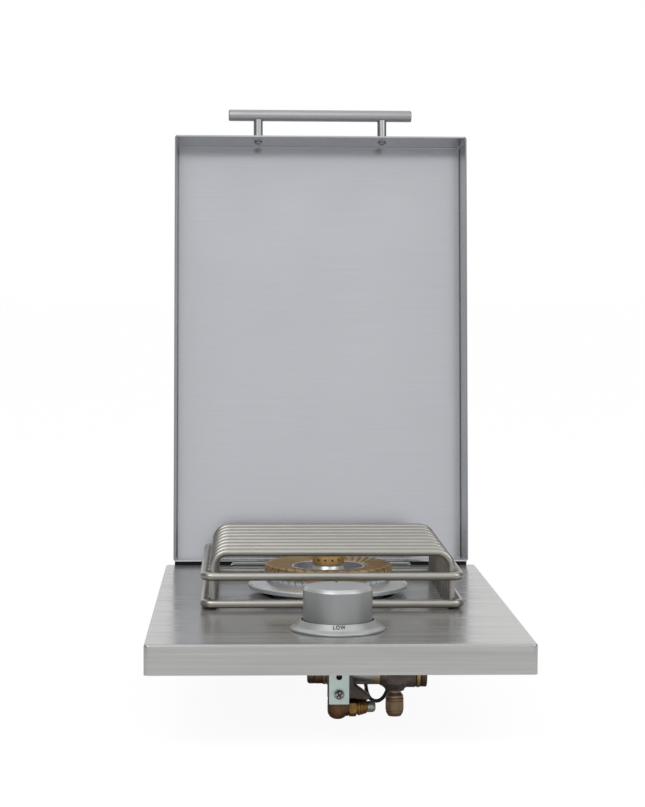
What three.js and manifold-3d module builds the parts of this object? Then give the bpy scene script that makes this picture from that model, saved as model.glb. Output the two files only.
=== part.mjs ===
// Built-in side burner with a hinged lid, a welded rod grate and a brass double-ring burner.
// Millimetres, +Z up, the front faces -Y. The origin is the middle of the front rest flange,
// on the plane of the counter that the deck sits on. The lid is shown open.

import * as THREE from 'three';
import { mergeVertices } from 'three/addons/utils/BufferGeometryUtils.js';
import Module from 'manifold-3d';

const wasm = await Module();
wasm.setup();

// Clearances and facet counts that every piece shares
const seatGap = 0.3;
const holeGap = 0.25;
const cutOverrun = 2;
const wideSides = 36;
const roundSides = 24;
const tubeSides = 12;
const rodSides = 8;
const smallSides = 8;
const portSides = 4;
const rivetSides = 6;
const bendSteps = 3;
const screwDomeShare = 0.4;

// Deck: one folded pan, open below, with a rest flange turned in along its lower edge
const deckWidth = 318;
const deckDepth = 470;
const lipHeight = 25;
const deckSheet = 1.5;
const restFlange = 16;
const deckBend = 2;
const deckCorner = 4;
const burnerInsetShare = 0.5936;
const burnerHoleRadius = 63;
const knobInset = 73.7;

const deckFront = -restFlange / 2;
const deckRear = deckFront + deckDepth;
const deckTop = lipHeight;
const deckUnder = deckTop - deckSheet;
const burnerInset = deckDepth * burnerInsetShare;
const burnerY = deckFront + burnerInset;
const knobY = deckFront + knobInset;

// Lid: a folded cover with a bar handle on its front wall, hung on a riveted hinge
const lidWidth = 302.5;
const lidDepth = 440;
const lidHeight = 60;
const lidSheet = 1.5;
const lidBend = 2;
const lidCorner = 3;
const lidRimGap = 0.5;
const lidOpenDegrees = 96.4;

// Rubber strip that the open lid rests on, on the outside of its hinge wall, with a pad at each end
const stripLength = 300;
const stripLow = 6;
const stripHigh = 9.6;
const stripProud = 2.45;
const padLow = 2.2;
const padProud = 2.9;
const padClearance = 2;

// Hinge
const hingeInset = 7.7;
const hingeLength = 180;
const knuckleCount = 9;
const pinRadius = 0.9;
const pinHeadRadius = 1.6;
const pinHeadHeight = 0.8;
const leafSheet = 0.8;
const leafWidth = 5.4;
const pinRunning = 0.1;
const rivetCount = 8;
const rivetSpacingShare = 0.139;
const rivetRadius = 1;
const rivetHeadRadius = 1.9;
const rivetHeadHeight = 0.6;
const rivetHeightShare = 0.62;

const rivetSpacing = hingeLength * rivetSpacingShare;
const knuckleRadius = pinRadius + pinRunning + leafSheet;
const hingeY = deckRear - hingeInset;
const hingeZ = deckTop + seatGap + knuckleRadius;

// Handle
const barRadius = 6;
const barLength = 192;
const barEdge = 0.8;
const postRadius = 4.75;
const postSpacing = 130;
const barStandoff = 26.5;
const handleScrewRadius = 2.2;
const handleScrewLength = 12;
const handleScrewHeadRadius = 4.2;
const handleScrewHeadHeight = 2.2;

// Grate: nine rod loops inside two closed rod rings
const rodRadius = 3.75;
const loopCount = 9;
const loopPitch = 23.8;
const loopWidth = 220;
const loopBend = 13;
const loopTop = 53.5;
const ringBend = 2 * rodRadius + seatGap;
const lowerRingLift = 5.3;
const upperRingLift = 29.7;

// Burner casting, seen in section as radius and height above the deck
const skirtRadius = 74.5;
const skirtRimLow = 5.5;
const skirtRimHigh = 9.2;
const skirtWall = 1.6;
const skirtCrown = 13.6;
const notchWallRadius = 57;
const ringSeat = 17.3;
const notchCount = 48;
const notchWidth = 2.6;
const notchDepth = 3;
const seatInner = 52;
const channelInner = 40;
const channelFloor = 9;
const wellLipRadius = 34.4;
const wellLipWall = 1.9;
const wellLipHigh = 25.7;
const wellFloor = 14.6;
const wellSlotCount = 8;
const wellSlotWidth = 3;
const wellSlotDepth = 5;
const wellSlotInset = 2;
const pedestalFoot = 18.5;
const pedestalTop = 14.4;
const pedestalHigh = 28;
const spigotHigh = 31.3;
const throatRadius = 52;
const bowlRadius = 46;
const bowlShoulder = -8;
const bowlDepth = 32;
const bowlEdge = 5;

// Brass ring with ports and spiral flutes
const ringRadius = 59.5;
const ringWall = 3;
const ringRoof = 4.5;
const ringInner = 35.2;
const ringShoulder = 24;
const ringCrest = 28;
const ringCrestRadius = 56;
const ringInnerEdge = 25;
const fluteCount = 26;
const fluteDepth = 1.1;
const fluteTwist = 0.62;
const fluteSteps = 3;
const crownSteps = 2;
const ringPortCount = 52;
const ringPortRadius = 0.95;
const ringPortLift = 4.6;

// Brass centre cap
const capRadius = 15;
const capWall = 2.6;
const capHigh = 35.6;
const capRoof = 2.4;
const capPortCount = 14;
const capPortRadius = 0.95;
const capPortLift = 3.8;
const capLidRadius = 15.4;
const capLidHeight = 2.7;
const capLidCrown = 0.7;
const capNeckRadius = 11;
const capNeckHeight = 0.6;

// Pan that carries the burner under the deck, and its screws
const panSheet = 1.5;
const panFlange = 16;
const panFloorRadius = 58;
const panWindowGap = 1;
const panCollarGap = 0.8;
const panScrewRadius = 2.4;
const panScrewSpacing = 56;
const panScrewLength = 8;
const panScrewHeadRadius = 4.4;
const panScrewHeadHeight = 2.6;

// Knob, its bezel and the marker in its top
const knobRadius = 29.2;
const knobLow = 6;
const knobHigh = 36.6;
const knobChamfer = 2.6;
const knobChamferHeight = 3;
const knobWall = 4;
const knobCrown = 5;
const hubRadius = 8.5;
const hubLow = 9;
const bushRadius = 5;
const bushLength = 15;
const markerWidth = 1.6;
const markerLength = 7;
const markerDepth = 0.8;
const bezelRadius = 40;
const bezelEdge = 1.7;
const bezelHigh = 8.7;
const bezelRimWidth = 1.1;
const bezelRimGap = 1.2;
const bezelFloor = 1.5;
const bezelHole = 9;
const bezelScrewSpacing = 38;
const bezelScrewRadius = 1.9;
const bezelScrewLength = 7;
const bezelScrewHeadRadius = 3.6;
const bezelScrewHeadHeight = 2;

// Valve: stem, turning plug, return spring and casting, as depths below the deck top
const stemRadius = 3;
const stemFlat = 2.1;
const stemHigh = 21;
const stemLow = 14.5;
const plugRadius = 6.2;
const plugLowRadius = 5.2;
const plugHigh = 8;
const plugLow = 22;
const plugBore = 3.5;
const plugFloor = 2;
const springWire = 0.6;
const springTurns = 3.5;
const springSteps = 8;
const springSides = 5;
const bossRadius = 12.6;
const bossHigh = 5.6;
const bossLow = 28.5;
const castingFront = 58.6;
const castingRear = 74;
const castingHalfWidth = 13;
const castingLow = 57.6;
const castingWaist = 8.4;
const armHigh = 42;
const armReach = 27.5;
const armLow = 55;

// Zinc bracket that hangs the valve from the deck
const bracketWidth = 17.5;
const bracketSheet = 1.6;
const bracketFront = 56.6;
const bracketLow = 60.4;
const bracketTongue = 38;
const bracketHoleRadius = 2.6;
const bracketHoleDepth = 37.4;
const bracketScrewDepth = 52;
const bracketScrewRadius = 2;
const bracketScrewLength = 8;
const bracketScrewHeadRadius = 4;
const bracketScrewHeadHeight = 2;
const washerRadius = 5.2;
const washerSheet = 0.7;
const washerTeeth = 12;

// Gas pipe along the back of the valve, with its plug, inlet tee and barrel nut
const pipeRadius = 9.5;
const pipeWall = 2;
const pipeInset = 84;
const pipeDepth = 39.2;
const pipeLeft = -9.1;
const pipeRight = 43;
const plugCapRadius = 8.7;
const plugCapLength = 15.7;
const plugCapEdge = 1.6;
const plugCollarRadius = 9.3;
const plugCollarLength = 2.6;
const plugThreadLength = 8;
const teeLeft = 36;
const teeRight = 66.6;
const teeRadius = 12;
const teeBossX = 49;
const teeBossRadius = 14;
const teeBossLow = 53.6;
const teeBossNeck = 8.2;
const teeShoulder = 9;
const teeRingWidth = 3.4;
const teeRingRadius = 12.4;
const teePlugLength = 5.2;
const teePlugRadius = 11.6;
const nutLength = 21.6;
const nutRadius = 7.8;
const nutNeck = 6;
const nutBore = 4.4;
const nutGroove = 0.5;
const nutShares = [0.14, 0.34, 0.6, 0.72, 0.74, 0.84];

// Lower outlet: elbow, brass nut and tip, pointing right
const outletInset = 67.2;
const outletDepth = 66;
const elbowRadius = 8.5;
const elbowReach = 9;
const elbowArm = 6.4;
const outletNutRadius = 8.4;
const outletNutLength = 15.2;
const outletNutDepth = 64.4;
const outletNutGroove = 0.7;
const outletTipRadius = 5;
const outletTipLength = 7;
const outletTipBore = 1.6;

// Orifices and mixer tubes that feed the burner from the valve
const feedSpacing = 22;
const feedDepth = 20;
const orificeRadius = 3.6;
const orificeLength = 20;
const orificeBore = 1;
const mixerRadius = 9.5;
const mixerWall = 1.2;
const mixerMouth = 98;
const mixerFlare = 1.2;
const mixerFlareLength = 6;
const mixerBossRadius = 10.3;

// Ignition: housing beside the valve, electrode behind the centre cap, lead between them
const piezoWidth = 18;
const piezoLength = 26;
const piezoHigh = 8;
const piezoHeight = 18;
const piezoEdge = 1.5;
const electrodeOffset = 24;
const insulatorRadius = 3;
const insulatorHigh = 18;
const insulatorLow = 38;
const insulatorCollar = 4.6;
const insulatorCollarHeight = 3;
const electrodeRadius = 0.8;
const electrodeRise = 9;
const electrodeBend = 3.4;
const electrodeReach = 3;
const leadRadius = 1.6;
const leadSides = 8;

// Finishes
function finish(color, roughness, metalness) {
  return new THREE.MeshStandardMaterial({ color, roughness, metalness });
}

const brushedSteel = finish(0xb4b5b6, 0.34, 1);
const rodSteel = finish(0xb9b7b0, 0.36, 1);
const satinAluminium = finish(0xc2c5c8, 0.42, 1);
const castAluminium = finish(0xcfd2d4, 0.38, 1);
const brass = finish(0x9a7a45, 0.45, 1);
const capBrass = finish(0xb98a4a, 0.4, 1);
const zincPlate = finish(0xb7cfc9, 0.35, 0.9);
const darkCasting = finish(0x4a4645, 0.6, 0.7);
const agedBrass = finish(0x5d4a36, 0.5, 0.8);
const nickel = finish(0xa9a9a8, 0.3, 1);
const blackPlastic = finish(0x161616, 0.5, 0);
const blackRubber = finish(0x101010, 0.8, 0);
const redSleeve = finish(0x7c1420, 0.5, 0);
const ceramic = finish(0xe8e4da, 0.4, 0);
const markerInk = finish(0x3c3a38, 0.6, 0);

// Closed solid from a geometry: shared corners merged, empty triangles dropped, faces outward
function solid(geometry) {
  const bare = geometry.clone();
  for (const name of Object.keys(bare.attributes)) {
    if (name !== 'position') bare.deleteAttribute(name);
  }
  const merged = mergeVertices(bare);
  const corners = merged.index.array;
  const kept = [];
  for (let i = 0; i < corners.length; i += 3) {
    const [a, b, c] = [corners[i], corners[i + 1], corners[i + 2]];
    if (a !== b && b !== c && a !== c) kept.push(a, b, c);
  }
  const vertProperties = new Float32Array(merged.attributes.position.array);
  const build = (order) => {
    const triVerts = new Uint32Array(order);
    return new wasm.Manifold(new wasm.Mesh({ numProp: 3, vertProperties, triVerts }));
  };
  const body = build(kept);
  if (body.volume() > 0) return body;
  return build(kept.slice().reverse());
}

// Named mesh from a solid
function piece(name, body, material) {
  const data = body.getMesh();
  const geometry = new THREE.BufferGeometry();
  geometry.setAttribute('position', new THREE.BufferAttribute(data.vertProperties, 3));
  geometry.setIndex(new THREE.BufferAttribute(data.triVerts, 1));
  geometry.computeVertexNormals();
  const mesh = new THREE.Mesh(geometry, material);
  mesh.name = name;
  return mesh;
}

// The same solid flipped, turned by degrees about X, Y and Z, and set at a point
function moved(body, at, turn = [0, 0, 0], flip = [1, 1, 1]) {
  const data = body.getMesh();
  const geometry = new THREE.BufferGeometry();
  geometry.setAttribute('position', new THREE.BufferAttribute(data.vertProperties, 3));
  geometry.setIndex(new THREE.BufferAttribute(data.triVerts, 1));
  const angles = turn.map((degrees) => THREE.MathUtils.degToRad(degrees));
  geometry.applyMatrix4(new THREE.Matrix4().compose(
    new THREE.Vector3(...at), new THREE.Quaternion().setFromEuler(new THREE.Euler(...angles)),
    new THREE.Vector3(...flip)));
  return solid(geometry);
}

const join = (bodies) => bodies.reduce((sum, body) => sum.add(body));
const cut = (body, tools) => tools.reduce((rest, tool) => rest.subtract(tool), body);

// Block between low and high limits on each axis
function block([x0, x1], [y0, y1], [z0, z1]) {
  const geometry = new THREE.BoxGeometry(x1 - x0, y1 - y0, z1 - z0);
  geometry.translate((x0 + x1) / 2, (y0 + y1) / 2, (z0 + z1) / 2);
  return solid(geometry);
}

// Turned form: profile points are [radius, place along the axis], revolved about the axis at a point
const axisTurns = {
  x: new THREE.Matrix4().makeBasis(
    new THREE.Vector3(0, 0, 1), new THREE.Vector3(1, 0, 0), new THREE.Vector3(0, 1, 0)),
  y: new THREE.Matrix4().makeBasis(
    new THREE.Vector3(1, 0, 0), new THREE.Vector3(0, 1, 0), new THREE.Vector3(0, 0, 1)),
  z: new THREE.Matrix4().makeBasis(
    new THREE.Vector3(1, 0, 0), new THREE.Vector3(0, 0, 1), new THREE.Vector3(0, -1, 0)),
};
function turned(profile, sides, axis = 'z', at = [0, 0, 0]) {
  const points = profile.map(([r, h]) => new THREE.Vector2(r, h));
  const geometry = new THREE.LatheGeometry(points, sides);
  geometry.applyMatrix4(axisTurns[axis]);
  geometry.translate(...at);
  return solid(geometry);
}
function rod(radius, [from, to], sides, axis = 'z', at = [0, 0, 0]) {
  return turned([[0, from], [radius, from], [radius, to], [0, to]], sides, axis, at);
}
function tube(outer, inner, [from, to], sides, axis = 'z', at = [0, 0, 0]) {
  const wall = [[inner, from], [outer, from], [outer, to], [inner, to], [inner, from]];
  return turned(wall, sides, axis, at);
}

// Rounded rectangle centred on a point
function roundedRectangle(width, depth, radius, steps = bendSteps) {
  const shape = new THREE.Shape();
  const x = width / 2 - radius;
  const y = depth / 2 - radius;
  const corners = [[x, y], [-x, y], [-x, -y], [x, -y]];
  const points = corners.flatMap(([cx, cy], corner) => {
    return Array.from({ length: steps + 1 }, (unused, step) => {
      const turn = (corner + step / steps) * Math.PI / 2;
      return new THREE.Vector2(cx + radius * Math.cos(turn), cy + radius * Math.sin(turn));
    });
  });
  shape.setFromPoints(points);
  return shape;
}

function prism(shape, [z0, z1]) {
  const geometry = new THREE.ExtrudeGeometry(shape, { depth: z1 - z0, bevelEnabled: false });
  geometry.translate(0, 0, z0);
  return solid(geometry);
}

// Folded pan standing on z = 0, open below, with rounded upper bends
function foldedPan(width, depth, height, sheet, bend, corner) {
  const plan = roundedRectangle(width - 2 * bend, depth - 2 * bend, corner - bend);
  const geometry = new THREE.ExtrudeGeometry(plan, {
    depth: height, bevelThickness: bend, bevelSize: bend, bevelSegments: 2,
  });
  geometry.translate(0, 0, -bend);
  const spill = block([-width, width], [-depth, depth], [-height, 0]);
  const inside = roundedRectangle(width - 2 * sheet, depth - 2 * sheet, corner - sheet);
  const hollow = prism(inside, [-cutOverrun, height - sheet]);
  return cut(solid(geometry), [spill, hollow]);
}

// Strip of sheet bent along a line of points, given in a plane and widened across it
function bentStrip(points, sheet, width, across) {
  const line = points.map(([u, v]) => new THREE.Vector2(u, v));
  const normals = line.slice(1).map((point, i) => {
    const along = point.clone().sub(line[i]).normalize();
    return new THREE.Vector2(-along.y, along.x);
  });
  const offset = line.map((point, i) => {
    const before = normals[Math.max(i - 1, 0)];
    const after = normals[Math.min(i, normals.length - 1)];
    const middle = before.clone().add(after).normalize();
    return point.clone().addScaledVector(middle, sheet / middle.dot(after));
  });
  const shape = new THREE.Shape([...line, ...offset.reverse()]);
  const geometry = new THREE.ExtrudeGeometry(shape, { depth: width, bevelEnabled: false });
  geometry.translate(0, 0, -width / 2);
  geometry.applyMatrix4(across);
  return solid(geometry);
}
const acrossX = new THREE.Matrix4().makeBasis(
  new THREE.Vector3(0, 1, 0), new THREE.Vector3(0, 0, 1), new THREE.Vector3(1, 0, 0));

// Path through chosen stations, so that a swept rod has a ring at each one and nowhere else
class StationPath extends THREE.Curve {
  constructor(stations) {
    super();
    this.stations = stations;
  }

  getPointAt(share) {
    return this.stations[Math.round(share * (this.stations.length - 1))].clone();
  }

  getTangentAt(share) {
    const last = this.stations.length - 1;
    const i = Math.round(share * last);
    const here = this.stations[i];
    const tangent = new THREE.Vector3();
    if (i > 0) tangent.add(here.clone().sub(this.stations[i - 1]).normalize());
    if (i < last) tangent.add(this.stations[i + 1].clone().sub(here).normalize());
    return tangent.normalize();
  }
}

function swept(stations, radius, sides) {
  const section = Array.from({ length: sides }, (unused, i) => {
    const turn = i / sides * 2 * Math.PI;
    return new THREE.Vector2(radius * Math.cos(turn), radius * Math.sin(turn));
  });
  const geometry = new THREE.ExtrudeGeometry(new THREE.Shape(section), {
    steps: stations.length - 1, bevelEnabled: false, extrudePath: new StationPath(stations),
  });
  return solid(geometry);
}

// Quarter bend in a plane: stations from one direction to the next about a centre
function quarterBend(centre, radius, from, to, steps = bendSteps) {
  return Array.from({ length: steps + 1 }, (unused, i) => {
    const turn = i / steps * Math.PI / 2;
    return centre.clone()
      .addScaledVector(from, radius * Math.cos(turn))
      .addScaledVector(to, radius * Math.sin(turn));
  });
}

const unitX = new THREE.Vector3(1, 0, 0);
const unitY = new THREE.Vector3(0, 1, 0);
const unitZ = new THREE.Vector3(0, 0, 1);
const reversed = (vector) => vector.clone().negate();

// Screw: head and shank along +Z or -Z from the face that the head bears on
function screw(shankRadius, shankLength, headRadius, headHeight) {
  const dome = headHeight * screwDomeShare;
  return turned([
    [0, -shankLength], [shankRadius, -shankLength], [shankRadius, 0], [headRadius, 0],
    [headRadius, headHeight - dome], [headRadius - dome, headHeight], [0, headHeight],
  ], smallSides);
}

// Evenly spaced places about zero
const spread = (count, spacing) => Array.from({ length: count }, (unused, i) => (i - (count - 1) / 2) * spacing);

// Deck
function makeDeck() {
  const pan = foldedPan(deckWidth, deckDepth, lipHeight, deckSheet, deckBend, deckCorner);
  const flange = prism(roundedRectangle(deckWidth - deckSheet, deckDepth - deckSheet, deckCorner),
    [0, deckSheet]);
  const mouth = prism(roundedRectangle(deckWidth - 2 * restFlange, deckDepth - 2 * restFlange, deckCorner),
    [-cutOverrun, deckSheet + cutOverrun]);
  const placed = moved(pan.add(flange.subtract(mouth)), [0, deckFront + deckDepth / 2, 0]);
  const through = [deckUnder - cutOverrun, deckTop + cutOverrun];
  const burnerHole = rod(burnerHoleRadius, through, wideSides, 'z', [0, burnerY, 0]);
  const stemHole = rod(bezelHole, through, roundSides, 'z', [0, knobY, 0]);
  const bezelHoles = [-1, 1].map((side) => {
    const place = [side * bezelScrewSpacing / 2, knobY, 0];
    return rod(bezelScrewRadius + holeGap, through, smallSides, 'z', place);
  });
  const rivetY = hingeY + leafWidth * rivetHeightShare;
  const rivetHoles = spread(rivetCount, rivetSpacing).map((x) => {
    return rod(rivetRadius + holeGap, through, rivetSides, 'z', [x, rivetY, 0]);
  });
  return piece('deck_pan', cut(placed, [burnerHole, stemHole, ...bezelHoles, ...rivetHoles]), brushedSteel);
}

// Hinge: knuckles alternate between the leaves, and rivets are part of the leaf that they hold
function knuckleSpans(first) {
  const length = hingeLength / knuckleCount;
  return Array.from({ length: knuckleCount }, (unused, i) => i)
    .filter((i) => i % 2 === first)
    .map((i) => [i * length - hingeLength / 2, (i + 1) * length - hingeLength / 2])
    .map(([x0, x1]) => [x0 + seatGap / 2, x1 - seatGap / 2]);
}

// Leaf lying along +Y from the pin, under the pin's axis, with its rivets going down
function makeLeaf(first, gripSheet) {
  const low = -knuckleRadius;
  const plate = block([-hingeLength / 2, hingeLength / 2], [0, leafWidth], [low, low + leafSheet]);
  const rolls = knuckleSpans(first).map((span) => rod(knuckleRadius, span, smallSides, 'x'));
  const others = knuckleSpans(1 - first).map(([from, to]) => {
    return rod(knuckleRadius + seatGap, [from - seatGap, to + seatGap], smallSides, 'x');
  });
  const bore = rod(pinRadius + pinRunning, [-hingeLength, hingeLength], smallSides, 'x');
  const rivets = spread(rivetCount, rivetSpacing).map((x) => {
    const far = low - seatGap - gripSheet - seatGap;
    return turned([
      [0, far - rivetHeadHeight], [rivetHeadRadius, far], [rivetRadius, far], [rivetRadius, low + leafSheet],
      [rivetHeadRadius, low + leafSheet], [0, low + leafSheet + rivetHeadHeight],
    ], rivetSides, 'z', [x, leafWidth * rivetHeightShare, 0]);
  });
  const leaf = cut(plate, others);
  return cut(join([leaf, ...rolls]), [bore]).add(join(rivets));
}

function makeHinge() {
  const deckLeaf = moved(makeLeaf(0, deckSheet), [0, hingeY, hingeZ]);
  const headLow = hingeLength / 2 + seatGap;
  const pin = turned([
    [0, -headLow - pinHeadHeight], [pinHeadRadius, -headLow - pinHeadHeight], [pinHeadRadius, -headLow],
    [pinRadius, -headLow], [pinRadius, headLow], [pinHeadRadius, headLow],
    [pinHeadRadius, headLow + pinHeadHeight], [0, headLow + pinHeadHeight],
  ], smallSides, 'x', [0, hingeY, hingeZ]);
  return [piece('hinge_leaf_deck', deckLeaf, brushedSteel), piece('hinge_pin', pin, nickel)];
}

// Lid, built closed about the hinge pin and then turned open with its group
function makeLid() {
  const wallFace = -knuckleRadius - seatGap;
  const rimLow = deckTop + lidRimGap - hingeZ;
  const frontFace = wallFace - lidDepth;
  const handleZ = rimLow + lidHeight / 2;
  const shell = moved(foldedPan(lidWidth, lidDepth, lidHeight, lidSheet, lidBend, lidCorner),
    [0, wallFace - lidDepth / 2, rimLow]);
  const holes = [-1, 1].map((side) => {
    const span = [frontFace - cutOverrun, frontFace + lidSheet + cutOverrun];
    return rod(handleScrewRadius + holeGap, span, smallSides, 'y', [side * postSpacing / 2, 0, handleZ]);
  });
  const rivetHoles = spread(rivetCount, rivetSpacing).map((x) => {
    const span = [wallFace - lidSheet - cutOverrun, wallFace + cutOverrun];
    return rod(rivetRadius + holeGap, span, rivetSides, 'y', [x, 0, leafWidth * rivetHeightShare]);
  });
  const leaf = moved(makeLeaf(1, lidSheet), [0, 0, 0], [-90, 0, 0], [1, -1, 1]);
  const bar = turned([
    [0, -barLength / 2], [barRadius - barEdge, -barLength / 2], [barRadius, -barLength / 2 + barEdge],
    [barRadius, barLength / 2 - barEdge], [barRadius - barEdge, barLength / 2], [0, barLength / 2],
  ], roundSides, 'x', [0, frontFace - barStandoff, handleZ]);
  const lid = [
    piece('lid_shell', cut(shell, [...holes, ...rivetHoles]), brushedSteel),
    piece('hinge_leaf_lid', leaf, brushedSteel),
    piece('handle_bar', bar, brushedSteel),
  ];
  const stripFace = wallFace + seatGap;
  const padInner = hingeLength / 2 + padClearance;
  const pad = block([padInner, stripLength / 2], [stripFace, stripFace + padProud], [padLow, stripLow]);
  const strip = block([-stripLength / 2, stripLength / 2], [stripFace, stripFace + stripProud],
    [stripLow - seatGap, stripHigh]);
  const otherPad = moved(pad, [0, 0, 0], [0, 0, 0], [-1, 1, 1]);
  lid.push(piece('lid_rest_strip', join([strip, pad, otherPad]), blackRubber));
  for (const [side, sign] of [['left', -1], ['right', 1]]) {
    const x = sign * postSpacing / 2;
    const span = [frontFace - barStandoff, frontFace - seatGap];
    const saddle = rod(barRadius + seatGap, [-barLength, barLength], roundSides, 'x',
      [0, frontFace - barStandoff, handleZ]);
    const bore = rod(handleScrewRadius + holeGap, [frontFace - handleScrewLength - holeGap, 0],
      smallSides, 'y', [x, 0, handleZ]);
    const post = cut(rod(postRadius, span, tubeSides, 'y', [x, 0, handleZ]), [saddle, bore]);
    const shank = handleScrewLength + lidSheet + seatGap;
    const fastener = moved(screw(handleScrewRadius, shank, handleScrewHeadRadius, handleScrewHeadHeight),
      [x, frontFace + lidSheet + seatGap, handleZ], [-90, 0, 0]);
    lid.push(piece(`handle_post_${side}`, post, brushedSteel));
    lid.push(piece(`handle_screw_${side}`, fastener, nickel));
  }
  const group = new THREE.Group();
  group.add(...lid);
  group.position.set(0, hingeY, hingeZ);
  group.rotation.x = -THREE.MathUtils.degToRad(lidOpenDegrees);
  return group;
}

// Grate: loops stand inside the rings, and each ring is two swept halves joined into one
function makeGrate() {
  const legX = loopWidth / 2 - rodRadius;
  const crown = deckTop + loopTop - rodRadius;
  const bars = spread(loopCount, loopPitch).map((dy, i) => {
    const y = burnerY + dy;
    const foot = deckTop + seatGap;
    const shoulder = crown - loopBend;
    const stations = [
      new THREE.Vector3(-legX, y, foot),
      ...quarterBend(new THREE.Vector3(-legX + loopBend, y, shoulder), loopBend, reversed(unitX), unitZ),
      ...quarterBend(new THREE.Vector3(legX - loopBend, y, shoulder), loopBend, unitZ, unitX),
      new THREE.Vector3(legX, y, foot),
    ];
    return piece(`grate_bar_${i + 1}`, swept(stations, rodRadius, rodSides), rodSteel);
  });
  const ringX = legX + 2 * rodRadius + seatGap;
  const ringY = (loopCount - 1) / 2 * loopPitch + 2 * rodRadius + seatGap;
  const rings = [['upper', upperRingLift], ['lower', lowerRingLift]].map(([name, lift]) => {
    const z = deckTop + lift;
    const [cornerX, cornerY] = [ringX - ringBend, ringY - ringBend];
    const corner = (sx, sy) => new THREE.Vector3(sx * cornerX, burnerY + sy * cornerY, z);
    const half = (sx) => {
      const out = unitX.clone().multiplyScalar(sx);
      return swept([
        new THREE.Vector3(-sx * cutOverrun, burnerY - ringY, z),
        ...quarterBend(corner(sx, -1), ringBend, reversed(unitY), out),
        ...quarterBend(corner(sx, 1), ringBend, out, unitY),
        new THREE.Vector3(-sx * cutOverrun, burnerY + ringY, z),
      ], rodRadius, rodSides);
    };
    return piece(`grate_ring_${name}`, half(1).add(half(-1)), rodSteel);
  });
  return [...bars, ...rings];
}

// Burner casting: the skirt and ring seat, with a facet for each notch, joined to the well and bowl
function makeBurnerBody() {
  const joinRadius = (channelInner + seatInner) / 2;
  const skirt = turned([
    [joinRadius, bowlShoulder], [throatRadius, bowlShoulder + bowlEdge],
    [throatRadius, skirtCrown - 2 * skirtWall], [skirtRadius - skirtWall, skirtRimHigh - skirtWall],
    [skirtRadius - skirtWall, skirtRimLow], [skirtRadius, skirtRimLow],
    [skirtRadius, skirtRimHigh - skirtWall / 2], [skirtRadius - skirtWall, skirtRimHigh],
    [notchWallRadius, skirtCrown],
    [notchWallRadius, ringSeat], [seatInner, ringSeat], [seatInner, channelFloor],
    [joinRadius, channelFloor], [joinRadius, bowlShoulder],
  ], notchCount, 'z', [0, burnerY, deckTop]);
  const core = turned([
    [0, -bowlDepth], [bowlRadius - bowlEdge, -bowlDepth], [bowlRadius, -bowlDepth + bowlEdge],
    [bowlRadius, bowlShoulder - bowlEdge], [joinRadius + bowlEdge / 2, bowlShoulder],
    [joinRadius + bowlEdge / 2, channelFloor],
    [channelInner, channelFloor], [channelInner, ringSeat], [wellLipRadius, ringSeat],
    [wellLipRadius, wellLipHigh], [wellLipRadius - wellLipWall, wellLipHigh],
    [wellLipRadius - wellLipWall, wellFloor], [pedestalFoot, wellFloor], [pedestalTop, pedestalHigh],
    [capRadius - capWall - seatGap, pedestalHigh], [capRadius - capWall - seatGap, spigotHigh],
    [0, spigotHigh],
  ], roundSides, 'z', [0, burnerY, deckTop]);
  const around = (count, tool) => Array.from({ length: count }, (unused, i) => {
    return moved(tool, [0, burnerY, deckTop], [0, 0, (i + 0.5) * 360 / count]);
  });
  const notch = block([notchWallRadius - notchDepth, notchWallRadius + cutOverrun],
    [-notchWidth / 2, notchWidth / 2], [skirtCrown, ringSeat + cutOverrun]);
  const slot = block([pedestalFoot + wellSlotInset, wellLipRadius - wellLipWall - wellSlotInset],
    [-wellSlotWidth / 2, wellSlotWidth / 2], [wellFloor - wellSlotDepth, wellFloor + cutOverrun]);
  const inletFace = burnerInset - throatRadius;
  const bosses = [-1, 1].map((side) => {
    const place = [side * feedSpacing / 2, deckFront, deckTop - feedDepth];
    return rod(mixerBossRadius, [inletFace, burnerInset - bowlRadius / 2], tubeSides, 'y', place);
  });
  const inlets = [-1, 1].map((side) => {
    const place = [side * feedSpacing / 2, deckFront, deckTop - feedDepth];
    return rod(mixerRadius - mixerWall, [inletFace - cutOverrun, burnerInset - bowlRadius / 2],
      tubeSides, 'y', place);
  });
  const electrodeHole = rod(insulatorRadius + holeGap, [-bowlDepth - cutOverrun, pedestalHigh], smallSides,
    'z', [0, burnerY + electrodeOffset, deckTop]);
  const screwHoles = [-1, 1].map((side) => {
    const place = [side * panScrewSpacing / 2, burnerY, deckTop - bowlDepth];
    return rod(panScrewRadius + holeGap, [-cutOverrun, panScrewLength], smallSides, 'z', place);
  });
  const body = join([skirt, core, ...bosses]);
  return cut(body, [
    ...around(notchCount, notch), ...around(wellSlotCount, slot),
    ...inlets, electrodeHole, ...screwHoles,
  ]);
}

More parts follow.
